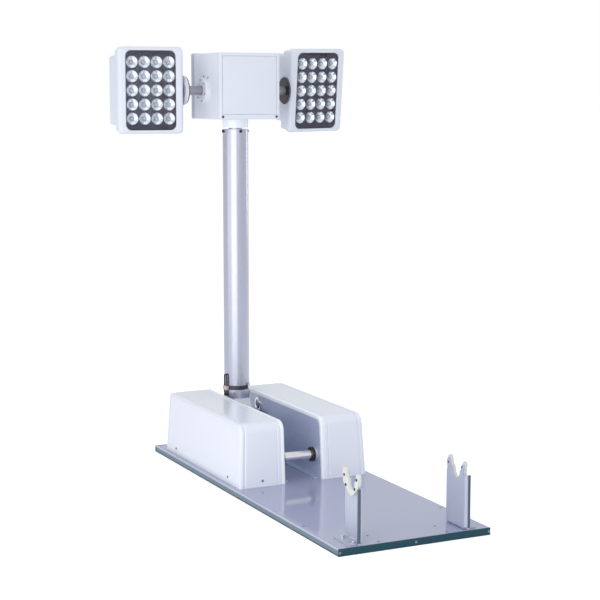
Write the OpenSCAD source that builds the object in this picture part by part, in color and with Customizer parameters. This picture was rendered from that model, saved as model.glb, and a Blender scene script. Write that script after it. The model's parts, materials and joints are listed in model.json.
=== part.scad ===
// Folding telescopic light mast: a tube mast that folds forward on a flat base panel,
// with two floodlights on a pan and tilt head. Millimetres, +Z up, +Y towards the rear.
// The origin is the middle of the panel's underside, and the photo's pose is the rest pose.

/* [Base panel] */
// Width of the base panel over its edging
panel_w = 500; // [480:1:600]
// Height of the base panel and its edging
panel_t = 21.5; // [16:0.5:30]
// Thickness of the edging round the panel
edging_t = 4; // [2:0.5:8]
// Distance from the mast axis to the panel's rear end
rear_overhang = 165; // [150:1:220]
// Distance from the cradle seats to the panel's front end
front_overhang = 60; // [56:1:120]
// Diameter of the four fixing holes
fixing_d = 9; // [6:0.5:12]
// Distance of the fixing holes from the long edges
fixing_edge = 16; // [12:1:22]
// Distance of the rear fixing holes from the rear end
fixing_rear = 19; // [14:1:30]
// Distance between the front and rear fixing holes
fixing_pitch = 1161; // [1100:1:1200]

/* [Covers] */
// Length of a cover at its foot
cover_l = 650; // [600:1:690]
// Distance from the covers' rear foot to the panel's rear end
cover_rear = 59; // [40:1:80]
// Height of the covers above the panel
cover_h = 205.5; // [185:0.5:230]
// Distance from a cover's outer foot to the panel's long edge
cover_side = 18; // [14:1:40]
// Width of the bay between the covers
bay_w = 134; // [130:1:160]
// Wall of the covers
cover_wall = 4; // [2.5:0.5:6]
// Radius of the front shoulders
cover_shoulder_r = 34; // [20:1:45]
// Radius of the rear shoulders
cover_rear_r = 16; // [14:1:45]
// Radius along the outer side edges
cover_edge_r = 12; // [6:1:13]
// How much the covers' ends lean in from foot to top
cover_draft = 12; // [4:1:16]
// How much the covers' outer sides lean in from foot to top
cover_lean = 10; // [4:1:14]
// Width of the lip round the opening on the bay side
cover_lip = 12; // [8:1:13]

/* [Side frames] */
// Sheet thickness of the side frames
frame_t = 4; // [3:0.5:6]
// Width of the foot flanges inside the bay
frame_flange = 22; // [16:1:30]
// Diameter of the cross bar
bar_d = 26; // [18:1:32]
// Distance of the cross bar behind the covers' front lip
bar_setback = 35; // [28:1:60]
// Height of the cross bar above the panel
bar_rise = 74; // [60:1:85]

/* [Pivot] */
// Height of the fold pivot above the panel
pivot_rise = 113.5; // [105:0.5:125]
// Distance of the fold pivot in front of the mast axis
pivot_lead = 52; // [50:1:60]
// Diameter of the pivot shaft
pivot_d = 30; // [22:1:36]
// Radius of the pivot hub on the mast foot
hub_r = 37; // [30:1:40]

/* [Mast] */
// Height of the mast foot's shoulder above the panel
shoulder_rise = 218.5; // [205:0.5:240]
// Length of the outer mast tube
tube_l = 917; // [860:1:980]
// Outer diameter of the outer mast tube
tube_d = 90; // [84:1:96]
// Wall of every mast tube
tube_wall = 3; // [2:0.5:3.5]
// Step in diameter from one mast section to the next
section_step = 14; // [12:0.5:15]
// Length of the guide bush in the mouth of a tube
bush_l = 50; // [30:1:70]
// Length of the piston ring at the bottom of a section
piston_l = 40; // [25:1:60]

/* [Head] */
// Width of the head box
box_w = 224; // [200:1:236]
// Depth of the head box
box_d = 250; // [220:1:262]
// Height of the head box
box_h = 225; // [205:1:250]
// Height of the tilt axis above the box floor
tilt_rise = 98; // [85:1:115]
// Height of the white collar on the mast top
collar_h = 29.7; // [22:0.1:36]
// Diameter of the tilt shafts
shaft_d = 31; // [24:1:34]
// Diameter of the tilt flanges on the box
flange_d = 86; // [74:1:100]
// Diameter of the tilt discs on the lamps
disc_d = 95; // [80:1:104]
// Distance of the tilt discs from the middle of the head
disc_x = 188; // [188:1:200]

/* [Lamps] */
// Width of a lamp's bezel
lamp_w = 226; // [214:1:250]
// Height of a lamp's bezel
lamp_h = 293; // [280:1:298]
// Depth of a lamp's bezel
bezel_depth = 24; // [20:1:32]
// Depth of the lamp body behind the bezel
body_depth = 36; // [28:1:44]
// Depth of the rear housing behind the lamp body
housing_depth = 107; // [80:1:113]
// Inset of the rear housing from the bezel on the outer side
housing_inset_out = 3; // [2:1:12]
// Inset of the rear housing from the bezel on the side of the tilt joint
housing_inset_in = 36; // [20:1:50]
// Inset of the rear housing from the bezel at top and bottom
housing_inset_z = 27; // [14:1:34]
// Distance of a lamp's middle from the middle of the head
lamp_x = 313; // [312:1:340]
// Distance of a lamp's front face in front of the tilt axis
lamp_lead = 10; // [0:1:16]
// Angle by which each lamp looks outwards
toe_out = 7.5; // [0:0.5:8]
// Angle by which the right lamp looks down at rest
right_tilt = 6; // [0:1:20]
// Width of a lamp's window
window_w = 174; // [172:1:196]
// Height of a lamp's window
window_h = 268; // [240:1:272]
// Columns of reflectors in a lamp
led_columns = 4; // [3:1:4]
// Rows of reflectors in a lamp
led_rows = 5; // [4:1:5]
// Distance between reflector columns
led_pitch_x = 42.5; // [42:0.5:43.5]
// Distance between reflector rows
led_pitch_z = 47.5; // [43:0.5:51]
// Diameter of a reflector's mouth
led_d = 40; // [34:0.5:41]

/* [Cradles] */
// Sheet thickness of the cradle brackets
bracket_t = 4; // [3:0.5:6]
// Length of the cradle brackets along the panel
bracket_l = 104; // [96:1:110]
// Distance of the brackets' inner faces from the middle
bracket_x = 167; // [160:1:167]
// Height of the rear prongs above the seat
prong_rise = 40.5; // [34:0.5:48]
// Thickness of the plastic forks
fork_t = 8; // [6:0.5:8]
// Depth of the plastic forks below the seat
fork_drop = 34; // [30:1:40]
// Width of the brackets' foot flanges
bracket_foot = 43; // [36:1:46]
// Width of the brackets' front flanges
bracket_front = 17; // [12:1:17]
// Radius of the brackets' bends
bend_r = 8; // [7:0.5:10]

/* [Hidden] */
$fn = 64;
// Overrun of every cut
over = 1;
// Running clearance of a shaft in its bearing, on the radius
run_gap = 0.05;
// Clearance between nested mast tubes and at their seats
slide_gap = 0.3;
// Shadow gap between the mast tube and the collar
shadow_gap = 5;
// Clearance round a tilt shaft in its cradle seat
seat_gap = 2;
// Sides of the curves that a blended shell is drawn with
blend_fn = 32;
// Thickness of the skin that ends a blended shell
shell_skin = 1;
// How far straight sides run inside the round ends that they join
web_sink = 0.05;

// Heights of the mast, from the panel up
shoulder_z = panel_t + shoulder_rise;
tube_top_z = shoulder_z + tube_l;
collar_z = tube_top_z + shadow_gap;
box_z = collar_z + collar_h + slide_gap;
tilt_z = box_z + tilt_rise;
pivot_z = panel_t + pivot_rise;
// The folded mast swings its tilt axis from above the mast to the cradle seats
fold_reach = tilt_z - pivot_z;
panel_l = rear_overhang + pivot_lead + fold_reach + front_overhang;
rear_y = panel_l / 2;
front_y = -panel_l / 2;
mast_y = rear_y - rear_overhang;
pivot_y = mast_y - pivot_lead;
seat_y = pivot_y - fold_reach;
seat_z = pivot_z + pivot_lead;

// Edge rails
rail_web = 1;
rail_foot = 3;
rail_top = 4;

// Covers and side frames
cover_y1 = rear_y - cover_rear;
cover_y0 = cover_y1 - cover_l;
cover_z1 = panel_t + cover_h;
cover_x0 = bay_w / 2;
cover_x1 = panel_w / 2 - cover_side;
cover_foot_r = 14;
seam_w = 3;
seam_depth = 1;
seam_places = [13, 27];
lip_t = 4;
frame_x = cover_x0 + lip_t;
frame_margin = 8;
bar_y = cover_y0 + cover_draft + cover_lip + bar_setback;
bar_z = panel_t + bar_rise;
bar_collar_wall = 12;
bar_collar_d = bar_d + 2 * bar_collar_wall;
bar_collar_t = 9;
bar_washer_wall = 8;
bar_washer_d = bar_d + 2 * bar_washer_wall;
bar_washer_t = 4;
bearing_step = 10.5;
bearing_d = 2 * (hub_r - bearing_step);
bearing_t = 10;
hub_gap = 6;
hub_half_w = frame_x - bearing_t - hub_gap;
shaft_stub = 12;
stud_d = 40;
stud_ring_d = 46;
stud_ring_t = 4;
stud_l = 8;
stud_lead = 30;
stud_rise = 160;

// Mast foot, tubes and the short cable link on the foot
tube_r = tube_d / 2;
spigot_l = 40;
knee_half_w = 30;
knee_h = 62;
hub_tangent = -55;
band_h = 15;
band_t = 1.6;
link_d = 6;
link_pitch = 12;
link_angle = 195;
link_drop = 19;
link_rise = 48;
link_stand = tube_r + band_t + link_d / 2 + slide_gap;
clip_wall = 2;
clip_h = 14;
section_count = 3;
section_z0 = shoulder_z + spigot_l + slide_gap;
spindle_d = 36;
spindle_l = 22;

// Head and lamps
box_r = 5;
box_wall = 3;
face_seat = 6;
face_t = 2;
face_border = 12;
face_lip = 18;
face_r = 3;
rear_cap_d = 24;
rear_cap_t = 1.5;
flange_t = 16;
hub_d = 58;
shaft_bed = 40;
disc_t = 6;
lamp_boss_d = 44;
lamp_edge_r = 12;
housing_edge_r = 12;
housing_wall = 6;
body_back = 5;
body_wall = 6;
body_inset_x = 2;
body_inset_z = 8;
body_r = 8;
window_r = 20;
glass_t = 3;
glass_sink = 3;
mask_t = 2;
cup_floor_d = 15;
tray_back = 3;
cup_depth = bezel_depth - glass_sink - glass_t - mask_t - tray_back;

// Cradles, with the circles that shape a fork given as [Y from the seat, Z from the seat, radius]
seat_r = shaft_d / 2 + seat_gap;
bracket_step = 3;
seat_reveal = 2;
tip_drop = 7;
root_r = 22;
rear_tip_r = 9.5;
front_tip_r = 8;
front_tip_step = 5;
fork_root = [2, root_r - fork_drop, root_r];
rear_knee = [38, 3, 13];
rear_tip = [43, prong_rise - rear_tip_r, rear_tip_r];
front_knee = [-30, 0, 10];
front_tip = [-36, prong_rise - front_tip_step - front_tip_r, front_tip_r];
notch_flare = [35, -30];
bolt_hole_d = 9;
bolt_inset = 20;
bolt_margin = 22;

// Draws its children on the right, or mirrored on the left
module on_side(side) {
    mirror([side < 0 ? 1 : 0, 0, 0]) children();
}

// A cylinder along X from x0 to x1, about a line at y and z
module rod(x0, x1, y, z, d) {
    translate([x0, y, z]) rotate([0, 90, 0]) cylinder(d = d, h = x1 - x0);
}

// A block between two corners
module block(low, high) {
    translate(low) cube(high - low);
}

// A rectangle with round corners, centred on the origin
module round_rect(w, h, r) {
    square([w - 2 * r, h], center = true);
    square([w, h - 2 * r], center = true);
    for (sx = [-1, 1], sy = [-1, 1]) translate([sx * (w / 2 - r), sy * (h / 2 - r)]) circle(r);
}

// A plate drawn in X and Z, from y0 back to y0 + depth
module upright_plate(y0, depth) {
    translate([0, y0 + depth, 0]) rotate([90, 0, 0]) linear_extrude(depth) children();
}

// A plate drawn in Y and Z, from x0 out to x0 + depth
module side_plate(x0, depth) {
    translate([x0, 0, 0]) rotate([90, 0, 90]) linear_extrude(depth) children();
}

// Base panel and edging

module base_panel() {
    color("lightsteelblue") difference() {
        block([-panel_w / 2 + edging_t, front_y + edging_t, 0],
              [panel_w / 2 - edging_t, rear_y - edging_t, panel_t]);
        for (side = [-1, 1], y = [rear_y - fixing_rear, rear_y - fixing_rear - fixing_pitch])
            translate([side * (panel_w / 2 - fixing_edge), y, -over])
                cylinder(d = fixing_d, h = panel_t + 2 * over);
    }
}

module end_strip(y) {
    color("darkslategray") block([-panel_w / 2, y, 0], [panel_w / 2, y + edging_t, panel_t]);
}

// A rail with a sunken web between a lip at its top and one at its foot
module edge_rail(side) {
    color("slategray") on_side(side) difference() {
        block([panel_w / 2 - edging_t, front_y + edging_t, 0],
              [panel_w / 2, rear_y - edging_t, panel_t]);
        block([panel_w / 2 - rail_web, front_y, rail_foot],
              [panel_w / 2 + over, rear_y, panel_t - rail_top]);
    }
}

// Covers and side frames

// Angle of a face that leans in by a distance on its way up to a rounding
function lean_angle(lean, r) = acos(r / norm([lean + r, cover_h - r])) - atan2(cover_h - r, lean + r);

// The drafted side form of a cover from x0 out to x0 + depth, smaller by an inset all round
module cover_profile(x0, depth, inset) {
    r = [cover_shoulder_r, cover_rear_r];
    mid = [[cover_y0 + cover_draft + r[0], cover_z1 - r[0]],
           [cover_y1 - cover_draft - r[1], cover_z1 - r[1]]];
    out = [for (i = [0, 1]) let (a = lean_angle(cover_draft, r[i])) [(2 * i - 1) * cos(a), sin(a)]];
    foot = [[cover_y0, panel_t], [cover_y1, panel_t]];
    for (i = [0, 1]) rod(x0, x0 + depth, mid[i][0], mid[i][1], 2 * (r[i] - inset));
    side_plate(x0, depth) polygon([
        foot[0] - inset * out[0], mid[0] + (r[0] - inset - web_sink) * out[0], mid[0],
        mid[0] + [0, r[0] - inset], mid[1] + [0, r[1] - inset], mid[1],
        mid[1] + (r[1] - inset - web_sink) * out[1], foot[1] - inset * out[1]
    ]);
}

// The drafted cross section of a cover in X and Z along its whole length, with a soft outer edge
module cover_section() {
    mid = [cover_x1 - cover_lean - cover_edge_r, cover_z1 - cover_edge_r];
    a = lean_angle(cover_lean, cover_edge_r);
    translate([mid[0], cover_y1, mid[1]]) rotate([90, 0, 0]) cylinder(r = cover_edge_r, h = cover_l);
    upright_plate(cover_y0, cover_l) polygon([
        [cover_x0, panel_t], [cover_x1, panel_t], mid + (cover_edge_r - web_sink) * [cos(a), sin(a)],
        mid, mid + [0, cover_edge_r], [cover_x0, cover_z1]
    ]);
}

// The plan of a cover at its foot, with round outer corners
module cover_plan() {
    block_x1 = cover_x1 - cover_foot_r;
    translate([cover_x0, cover_y0]) square([block_x1 - cover_x0, cover_l]);
    translate([cover_x0, cover_y0 + cover_foot_r]) square([cover_x1 - cover_x0, cover_l - 2 * cover_foot_r]);
    for (y = [cover_y0 + cover_foot_r, cover_y1 - cover_foot_r])
        translate([block_x1, y]) circle(cover_foot_r);
}

// The outer form of a cover, where its outline, section and plan meet
module cover_form() {
    intersection() {
        cover_profile(cover_x0, cover_x1 - cover_x0, 0);
        cover_section();
        translate([0, 0, panel_t]) linear_extrude(cover_h) cover_plan();
    }
}

// An outline in Y and Z that lies inside the covers' outer form by an inset, open at the foot
module bay_outline(inset) {
    y0 = cover_y0 + cover_draft + inset;
    y1 = cover_y1 - cover_draft - inset;
    z1 = cover_z1 - inset;
    r0 = cover_shoulder_r - inset;
    r1 = cover_rear_r - inset;
    translate([y0, panel_t - over]) square([y1 - y0, z1 - max(r0, r1) - panel_t + over]);
    translate([y0 + r0, panel_t - over]) square([y1 - y0 - r0 - r1, z1 - panel_t + over]);
    translate([y0 + r0, z1 - r0]) circle(r0);
    translate([y1 - r1, z1 - r1]) circle(r1);
    translate([y1 - max(r0, r1), panel_t - over]) square([max(r0, r1), z1 - r1 - panel_t + over]);
}

// A shallow seam round a cover at a distance from the bay
module cover_seam(place) {
    x0 = cover_x0 + place - seam_w / 2;
    difference() {
        block([x0, cover_y0 - over, panel_t - over], [x0 + seam_w, cover_y1 + over, cover_z1 + over]);
        cover_profile(x0 - over, seam_w + 2 * over, seam_depth);
    }
}

module cover(side) {
    hollow_x1 = cover_x1 - cover_lean - cover_edge_r;
    color("ghostwhite") on_side(side) difference() {
        cover_form();
        side_plate(cover_x0 + lip_t, hollow_x1 - cover_x0 - lip_t) bay_outline(cover_wall);
        side_plate(cover_x0 - over, lip_t + 2 * over) bay_outline(cover_lip);
        for (place = seam_places) cover_seam(place);
    }
}

module side_frame(side) {
    color("lightsteelblue") on_side(side) difference() {
        union() {
            intersection() {
                side_plate(frame_x, frame_t) bay_outline(frame_margin);
                block([0, cover_y0, panel_t], [panel_w, cover_y1, cover_z1]);
            }
            block([frame_x - frame_flange, cover_y0 + cover_draft + cover_lip, panel_t],
                  [frame_x + frame_t, cover_y1 - cover_draft - cover_lip, panel_t + frame_t]);
        }
        rod(frame_x - over, frame_x + frame_t + over, pivot_y, pivot_z, pivot_d + frame_t);
    }
}

module cross_bar() {
    color("silver") rod(-frame_x, frame_x, bar_y, bar_z, bar_d);
}

module cross_bar_collars() {
    color("black") for (side = [-1, 1]) on_side(side) difference() {
        union() {
            rod(frame_x - bar_washer_t, frame_x, bar_y, bar_z, bar_washer_d);
            rod(frame_x - bar_washer_t - bar_collar_t, frame_x - bar_washer_t, bar_y, bar_z, bar_collar_d);
        }
        rod(frame_x - bar_washer_t - bar_collar_t - over, frame_x + over, bar_y, bar_z,
            bar_d + 2 * run_gap);
    }
}

module pivot_bearings() {
    color("gray") for (side = [-1, 1]) on_side(side) difference() {
        rod(frame_x - bearing_t, frame_x, pivot_y, pivot_z, bearing_d);
        rod(frame_x - bearing_t - over, frame_x + over, pivot_y, pivot_z, pivot_d + 2 * run_gap);
    }
}

module guide_studs() {
    y = mast_y - stud_lead;
    z = panel_t + stud_rise;
    color("silver") for (side = [-1, 1]) on_side(side) {
        rod(frame_x - stud_ring_t, frame_x, y, z, stud_ring_d);
        translate([frame_x - stud_ring_t, y, z]) rotate([0, -90, 0]) dome(stud_d, stud_l);
    }
}

// A shallow dome of base diameter d and height h, standing on the origin along +Z
module dome(d, h) {
    ball_r = (d * d / 4 + h * h) / (2 * h);
    rotate_extrude() intersection() {
        translate([0, h - ball_r]) circle(ball_r);
        square([d / 2, h]);
    }
}

// Cradles

// The straight part of a tapering limb between two circles, each given as [x, y, radius]
module limb(a, b) {
    way = [b[0] - a[0], b[1] - a[1]];
    heading = atan2(way[1], way[0]);
    lean = acos((a[2] - b[2]) / norm(way));
    polygon([for (corner = [[a, lean], [b, lean], [b, -lean], [a, -lean]])
        [corner[0][0] + (corner[0][2] - web_sink) * cos(heading + corner[1]),
         corner[0][1] + (corner[0][2] - web_sink) * sin(heading + corner[1])]]);
}

// Two prongs on a round root about the seat, from x0 out to x0 + depth, as a sheet that is thinner all
// round by an inset and whose tips sit lower by a drop
module prongs(x0, depth, inset, drop) {
    slim = [0, 0, -inset];
    low = [0, -drop, -inset];
    root = fork_root + slim;
    translate([0, seat_y, seat_z]) {
        rod(x0, x0 + depth, root[0], root[1], 2 * root[2]);
        for (prong = [[rear_knee + slim, rear_tip + low], [front_knee + slim, front_tip + low]]) {
            for (end = prong) rod(x0, x0 + depth, end[0], end[1], 2 * end[2]);
            side_plate(x0, depth) limb(root, prong[0]);
            side_plate(x0, depth) limb(prong[0], prong[1]);
        }
    }
}

// The flared notch that a tilt shaft drops into, through a sheet from x0 out to x0 + depth
module notch(x0, depth, r) {
    translate([0, seat_y, seat_z]) {
        rod(x0 - over, x0 + depth + over, 0, 0, 2 * r);
        side_plate(x0 - over, depth + 2 * over) polygon([
            [-r, 0], [r, 0], [notch_flare[0], prong_rise + over], [notch_flare[1], prong_rise + over]
        ]);
    }
}

// A bent sheet's profile: one leg along X, one along Y, and a round bend at the origin
module angle_profile(leg_x, leg_y) {
    translate([bend_r, 0]) square([leg_x - bend_r, bracket_t]);
    translate([0, bend_r]) square([bracket_t, leg_y - bend_r]);
    intersection() {
        translate([bend_r, bend_r]) difference() {
            circle(bend_r);
            circle(bend_r - bracket_t);
        }
        square(bend_r);
    }
}

// A plate with prongs, bent outwards into a foot flange and a front flange that meet at an open corner
module cradle_bracket(side) {
    y0 = seat_y - bracket_l / 2;
    y1 = seat_y + bracket_l / 2;
    plate_h = seat_z - bracket_step - panel_t;
    color("lightsteelblue") on_side(side) difference() {
        union() {
            translate([bracket_x, 0, panel_t]) upright_plate(y0 + bend_r, bracket_l - bend_r)
                angle_profile(bracket_foot, plate_h);
            translate([bracket_x, y0, panel_t + bend_r]) linear_extrude(plate_h - bend_r)
                angle_profile(bracket_front, 2 * bend_r);
            block([bracket_x + bend_r, y0, panel_t],
                  [bracket_x + bracket_front, y0 + bracket_t, panel_t + bend_r + over]);
            prongs(bracket_x, bracket_t, seat_reveal, tip_drop);
        }
        notch(bracket_x, bracket_t, seat_r + seat_reveal);
        for (y = [y0 + bolt_margin, y1 - bolt_margin])
            translate([bracket_x + bracket_foot - bolt_inset, y, panel_t - over])
                cylinder(d = bolt_hole_d, h = bracket_t + 2 * over);
    }
}

module cradle_fork(side) {
    color("cornsilk") on_side(side) difference() {
        prongs(bracket_x + bracket_t, fork_t, 0, 0);
        notch(bracket_x + bracket_t, fork_t, seat_r);
    }
}

// Mast foot and tubes

module mast_foot() {
    color("gainsboro") difference() {
        union() {
            translate([0, mast_y, shoulder_z - knee_h]) cylinder(r = tube_r, h = knee_h);
            translate([0, mast_y, shoulder_z - over])
                cylinder(r = tube_r - tube_wall - slide_gap, h = spigot_l + over);
            rod(-hub_half_w, hub_half_w, pivot_y, pivot_z, 2 * hub_r);
            side_plate(-knee_half_w, 2 * knee_half_w) polygon([
                [pivot_y - hub_r, pivot_z], [mast_y - tube_r, shoulder_z - knee_h / 2],
                [mast_y + tube_r * cos(45), shoulder_z - knee_h / 2],
                [mast_y + tube_r * cos(45), shoulder_z - knee_h],
                [pivot_y + hub_r * cos(hub_tangent), pivot_z + hub_r * sin(hub_tangent)],
                [pivot_y, pivot_z]
            ]);
        }
        rod(-frame_x, frame_x, pivot_y, pivot_z, pivot_d + 2 * run_gap);
    }
}

module pivot_shaft() {
    color("silver") rod(-frame_x - frame_t - shaft_stub, frame_x + frame_t + shaft_stub,
                        pivot_y, pivot_z, pivot_d);
}

module mast_tube() {
    color("silver") translate([0, mast_y, shoulder_z]) difference() {
        cylinder(r = tube_r, h = tube_l);
        translate([0, 0, -over]) cylinder(r = tube_r - tube_wall, h = tube_l - bush_l + over);
        cylinder(r = tube_r - section_step / 2 + slide_gap, h = tube_l + over);
    }
}

module foot_clamp_band() {
    color("dimgray") translate([0, mast_y, shoulder_z]) difference() {
        cylinder(r = tube_r + band_t, h = band_h);
        translate([0, 0, -over]) cylinder(r = tube_r + run_gap, h = band_h + 2 * over);
    }
}

// A loop of cable beside the clamp band: an arch on two strands that turn into the mast foot
module cable_link() {
    color("black") translate([0, mast_y, shoulder_z]) rotate([0, 0, link_angle]) difference() {
        union() {
            translate([link_stand, 0, link_rise]) rotate([90, 0, 90]) rotate_extrude(angle = 180)
                translate([link_pitch / 2, 0]) circle(d = link_d);
            for (way = [-1, 1]) translate([link_stand, way * link_pitch / 2, -link_drop]) {
                cylinder(d = link_d, h = link_drop + link_rise);
                sphere(d = link_d);
                rotate([0, -90, 0]) cylinder(d = link_d, h = link_stand);
            }
        }
        translate([0, 0, -link_drop - link_d]) cylinder(r = tube_r + run_gap, h = 2 * link_rise + link_d);
    }
}

module cable_clip() {
    half_w = (link_pitch + link_d) / 2 + clip_wall;
    color("mistyrose") translate([0, mast_y, shoulder_z]) rotate([0, 0, link_angle]) difference() {
        block([0, -half_w, 0], [link_stand + link_d / 2 + clip_wall, half_w, clip_h]);
        for (way = [-1, 1]) translate([link_stand, way * link_pitch / 2, -over])
            cylinder(d = link_d + 2 * run_gap, h = clip_h + 2 * over);
        translate([0, 0, -over]) cylinder(r = tube_r + band_t + run_gap, h = clip_h + 2 * over);
    }
}

// Section number n slides inside number n - 1: a tube with a bush in its mouth and a piston at its foot
module mast_section(n, rise) {
    r = tube_r - n * section_step / 2;
    piston_r = tube_r - (n - 1) * section_step / 2 - tube_wall - slide_gap;
    h = tube_top_z - section_z0 + rise;
    last = n == section_count;
    color("silver") translate([0, mast_y, section_z0]) difference() {
        union() {
            cylinder(r = r, h = h);
            cylinder(r = piston_r, h = piston_l);
        }
        translate([0, 0, -over]) cylinder(r = r - tube_wall, h = h + over - (last ? tube_wall : bush_l));
        if (!last) cylinder(r = r - section_step / 2 + slide_gap, h = h + over);
    }
}

module section_two() { mast_section(1, 0); }
module section_three() { mast_section(2, 0); }
module section_four() { mast_section(3, shadow_gap); }

module mast_collar() {
    color("ghostwhite") translate([0, mast_y, collar_z]) difference() {
        cylinder(r = tube_r, h = collar_h);
        translate([0, 0, collar_h - spindle_l])
            cylinder(d = spindle_d + 2 * run_gap, h = spindle_l + over);
    }
}

// Head

// A hollow box whose front opening the front panel closes, with a bearing for each tilt shaft
module head_box() {
    inner_w = box_w - 2 * box_wall;
    inner_d = box_d - 2 * box_wall;
    color("ghostwhite") difference() {
        union() {
            difference() {
                translate([0, mast_y, box_z]) linear_extrude(box_h) round_rect(box_w, box_d, box_r);
                block([-inner_w / 2, mast_y - inner_d / 2, box_z + box_wall],
                      [inner_w / 2, mast_y + inner_d / 2, box_z + box_h - box_wall]);
                upright_plate(mast_y - box_d / 2 - over, box_wall + 2 * over) face_outline(face_seat);
            }
            for (side = [-1, 1]) on_side(side)
                rod(box_w / 2 - shaft_bed, box_w / 2 - box_wall / 2, mast_y, tilt_z, hub_d);
        }
        for (side = [-1, 1]) on_side(side)
            rod(box_w / 2 - shaft_bed - over, box_w / 2 + over, mast_y, tilt_z, shaft_d + 2 * run_gap);
    }
}

// Outline of the front panel in X and Z, smaller by an inset, above the lip at the foot of the box
module face_outline(inset) {
    translate([0, box_z + (box_h + face_lip - face_border) / 2])
        round_rect(box_w - 2 * (face_border + inset), box_h - face_border - face_lip - 2 * inset, face_r);
}

module head_front_panel() {
    color("ghostwhite") upright_plate(mast_y - box_d / 2 - face_t, face_t) face_outline(0);
}

// A cap over the rear of the box: a shell open towards the front
module head_rear_cover() {
    y1 = mast_y + box_d / 2;
    color("ghostwhite") difference() {
        translate([0, mast_y, box_z]) linear_extrude(box_h + rear_cap_t)
            round_rect(box_w + 2 * rear_cap_t, box_d + 2 * rear_cap_t, box_r + rear_cap_t);
        translate([0, mast_y, box_z - over]) linear_extrude(box_h + over)
            round_rect(box_w, box_d, box_r);
        block([-box_w, mast_y - box_d, box_z - over], [box_w, y1 - rear_cap_d, box_z + 2 * box_h]);
    }
}

module pan_spindle() {
    color("gray") translate([0, mast_y, box_z - spindle_l]) cylinder(d = spindle_d, h = spindle_l);
}

module tilt_flanges() {
    color("ghostwhite") for (side = [-1, 1]) on_side(side) difference() {
        rod(box_w / 2, box_w / 2 + flange_t, mast_y, tilt_z, flange_d);
        rod(box_w / 2 - over, box_w / 2 + flange_t + over, mast_y, tilt_z, shaft_d + 2 * run_gap);
    }
}

// Lamps

// Places a lamp's own frame: origin on the tilt axis, front towards -Y, turned out and tilted
module at_lamp(side, tilt) {
    translate([0, mast_y, tilt_z]) rotate([tilt, 0, 0]) on_side(side)
        translate([lamp_x, 0, 0]) rotate([0, 0, toe_out]) children();
}

// The shaft turns in the box, carries the disc and ends in a boss cut to the lamp's side
module tilt_shaft(side, tilt) {
    disc_x1 = disc_x + disc_t;
    color("gainsboro") difference() {
        on_side(side) {
            rod(box_w / 2 - shaft_bed, disc_x, mast_y, tilt_z, shaft_d);
            rod(disc_x, disc_x1, mast_y, tilt_z, disc_d);
            rod(disc_x1, lamp_x - lamp_w / 2, mast_y, tilt_z, lamp_boss_d);
        }
        at_lamp(side, tilt) block([-lamp_w / 2, -lamp_lead - over, -lamp_h], [lamp_w, lamp_w, lamp_h]);
    }
}

// A box with round edges from y0 back to y1: balls at its front or rear end, rods at the other
module soft_box(w, h, y0, y1, r, round_front) {
    hull() for (sx = [-1, 1], sz = [-1, 1])
        translate([sx * (w / 2 - r), 0, sz * (h / 2 - r)]) {
            translate([0, round_front ? y0 + r : y1 - r, 0]) sphere(r, $fn = blend_fn);
            translate([0, (round_front ? y1 : y0 + shell_skin), 0]) rotate([90, 0, 0])
                cylinder(r = r, h = shell_skin, $fn = blend_fn);
        }
}

module lamp_bezel(side, tilt) {
    color("ghostwhite") at_lamp(side, tilt) difference() {
        soft_box(lamp_w, lamp_h, -lamp_lead, bezel_depth - lamp_lead, lamp_edge_r, true);
        upright_plate(-lamp_lead - over, bezel_depth + 2 * over) round_rect(window_w, window_h, window_r);
    }
}

// The body behind the bezel: a tray that is open towards the window and closed at the back
module lamp_body(side, tilt) {
    y0 = bezel_depth - lamp_lead;
    color("ghostwhite") at_lamp(side, tilt) difference() {
        upright_plate(y0, body_depth)
            round_rect(lamp_w - 2 * body_inset_x, lamp_h - 2 * body_inset_z, body_r);
        upright_plate(y0 - over, body_depth - body_back + over)
            round_rect(window_w - 2 * body_wall, window_h - 2 * body_wall, window_r);
    }
}

// The rear housing, off centre so that the tilt joint has room beside it
module lamp_housing(side, tilt) {
    y0 = bezel_depth + body_depth - lamp_lead;
    w = lamp_w - housing_inset_in - housing_inset_out;
    h = lamp_h - 2 * housing_inset_z;
    shift = (housing_inset_in - housing_inset_out) / 2;
    color("ghostwhite") at_lamp(side, tilt) translate([shift, 0, 0]) difference() {
        soft_box(w, h, y0, y0 + housing_depth, housing_edge_r, false);
        block([-w / 2 + housing_wall, y0 - over, -h / 2 + housing_wall],
              [w / 2 - housing_wall, y0 + housing_depth - housing_wall, h / 2 - housing_wall]);
    }
}

module lamp_glass(side, tilt) {
    color("lightblue", 0.3) at_lamp(side, tilt)
        upright_plate(glass_sink - lamp_lead, glass_t) round_rect(window_w, window_h, window_r);
}

module each_led() {
    for (c = [0 : led_columns - 1], r = [0 : led_rows - 1])
        translate([(c - (led_columns - 1) / 2) * led_pitch_x, (r - (led_rows - 1) / 2) * led_pitch_z])
            children();
}

module lamp_mask(side, tilt) {
    color("dimgray") at_lamp(side, tilt) upright_plate(glass_sink + glass_t - lamp_lead, mask_t)
        difference() {
            round_rect(window_w, window_h, window_r);
            each_led() circle(d = led_d);
        }
}

module lamp_reflectors(side, tilt) {
    y0 = glass_sink + glass_t + mask_t - lamp_lead;
    color("silver") at_lamp(side, tilt) difference() {
        upright_plate(y0, cup_depth + tray_back) round_rect(window_w, window_h, window_r);
        translate([0, y0, 0]) rotate([-90, 0, 0]) each_led()
            cylinder(d1 = led_d, d2 = cup_floor_d, h = cup_depth);
    }
}

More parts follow.
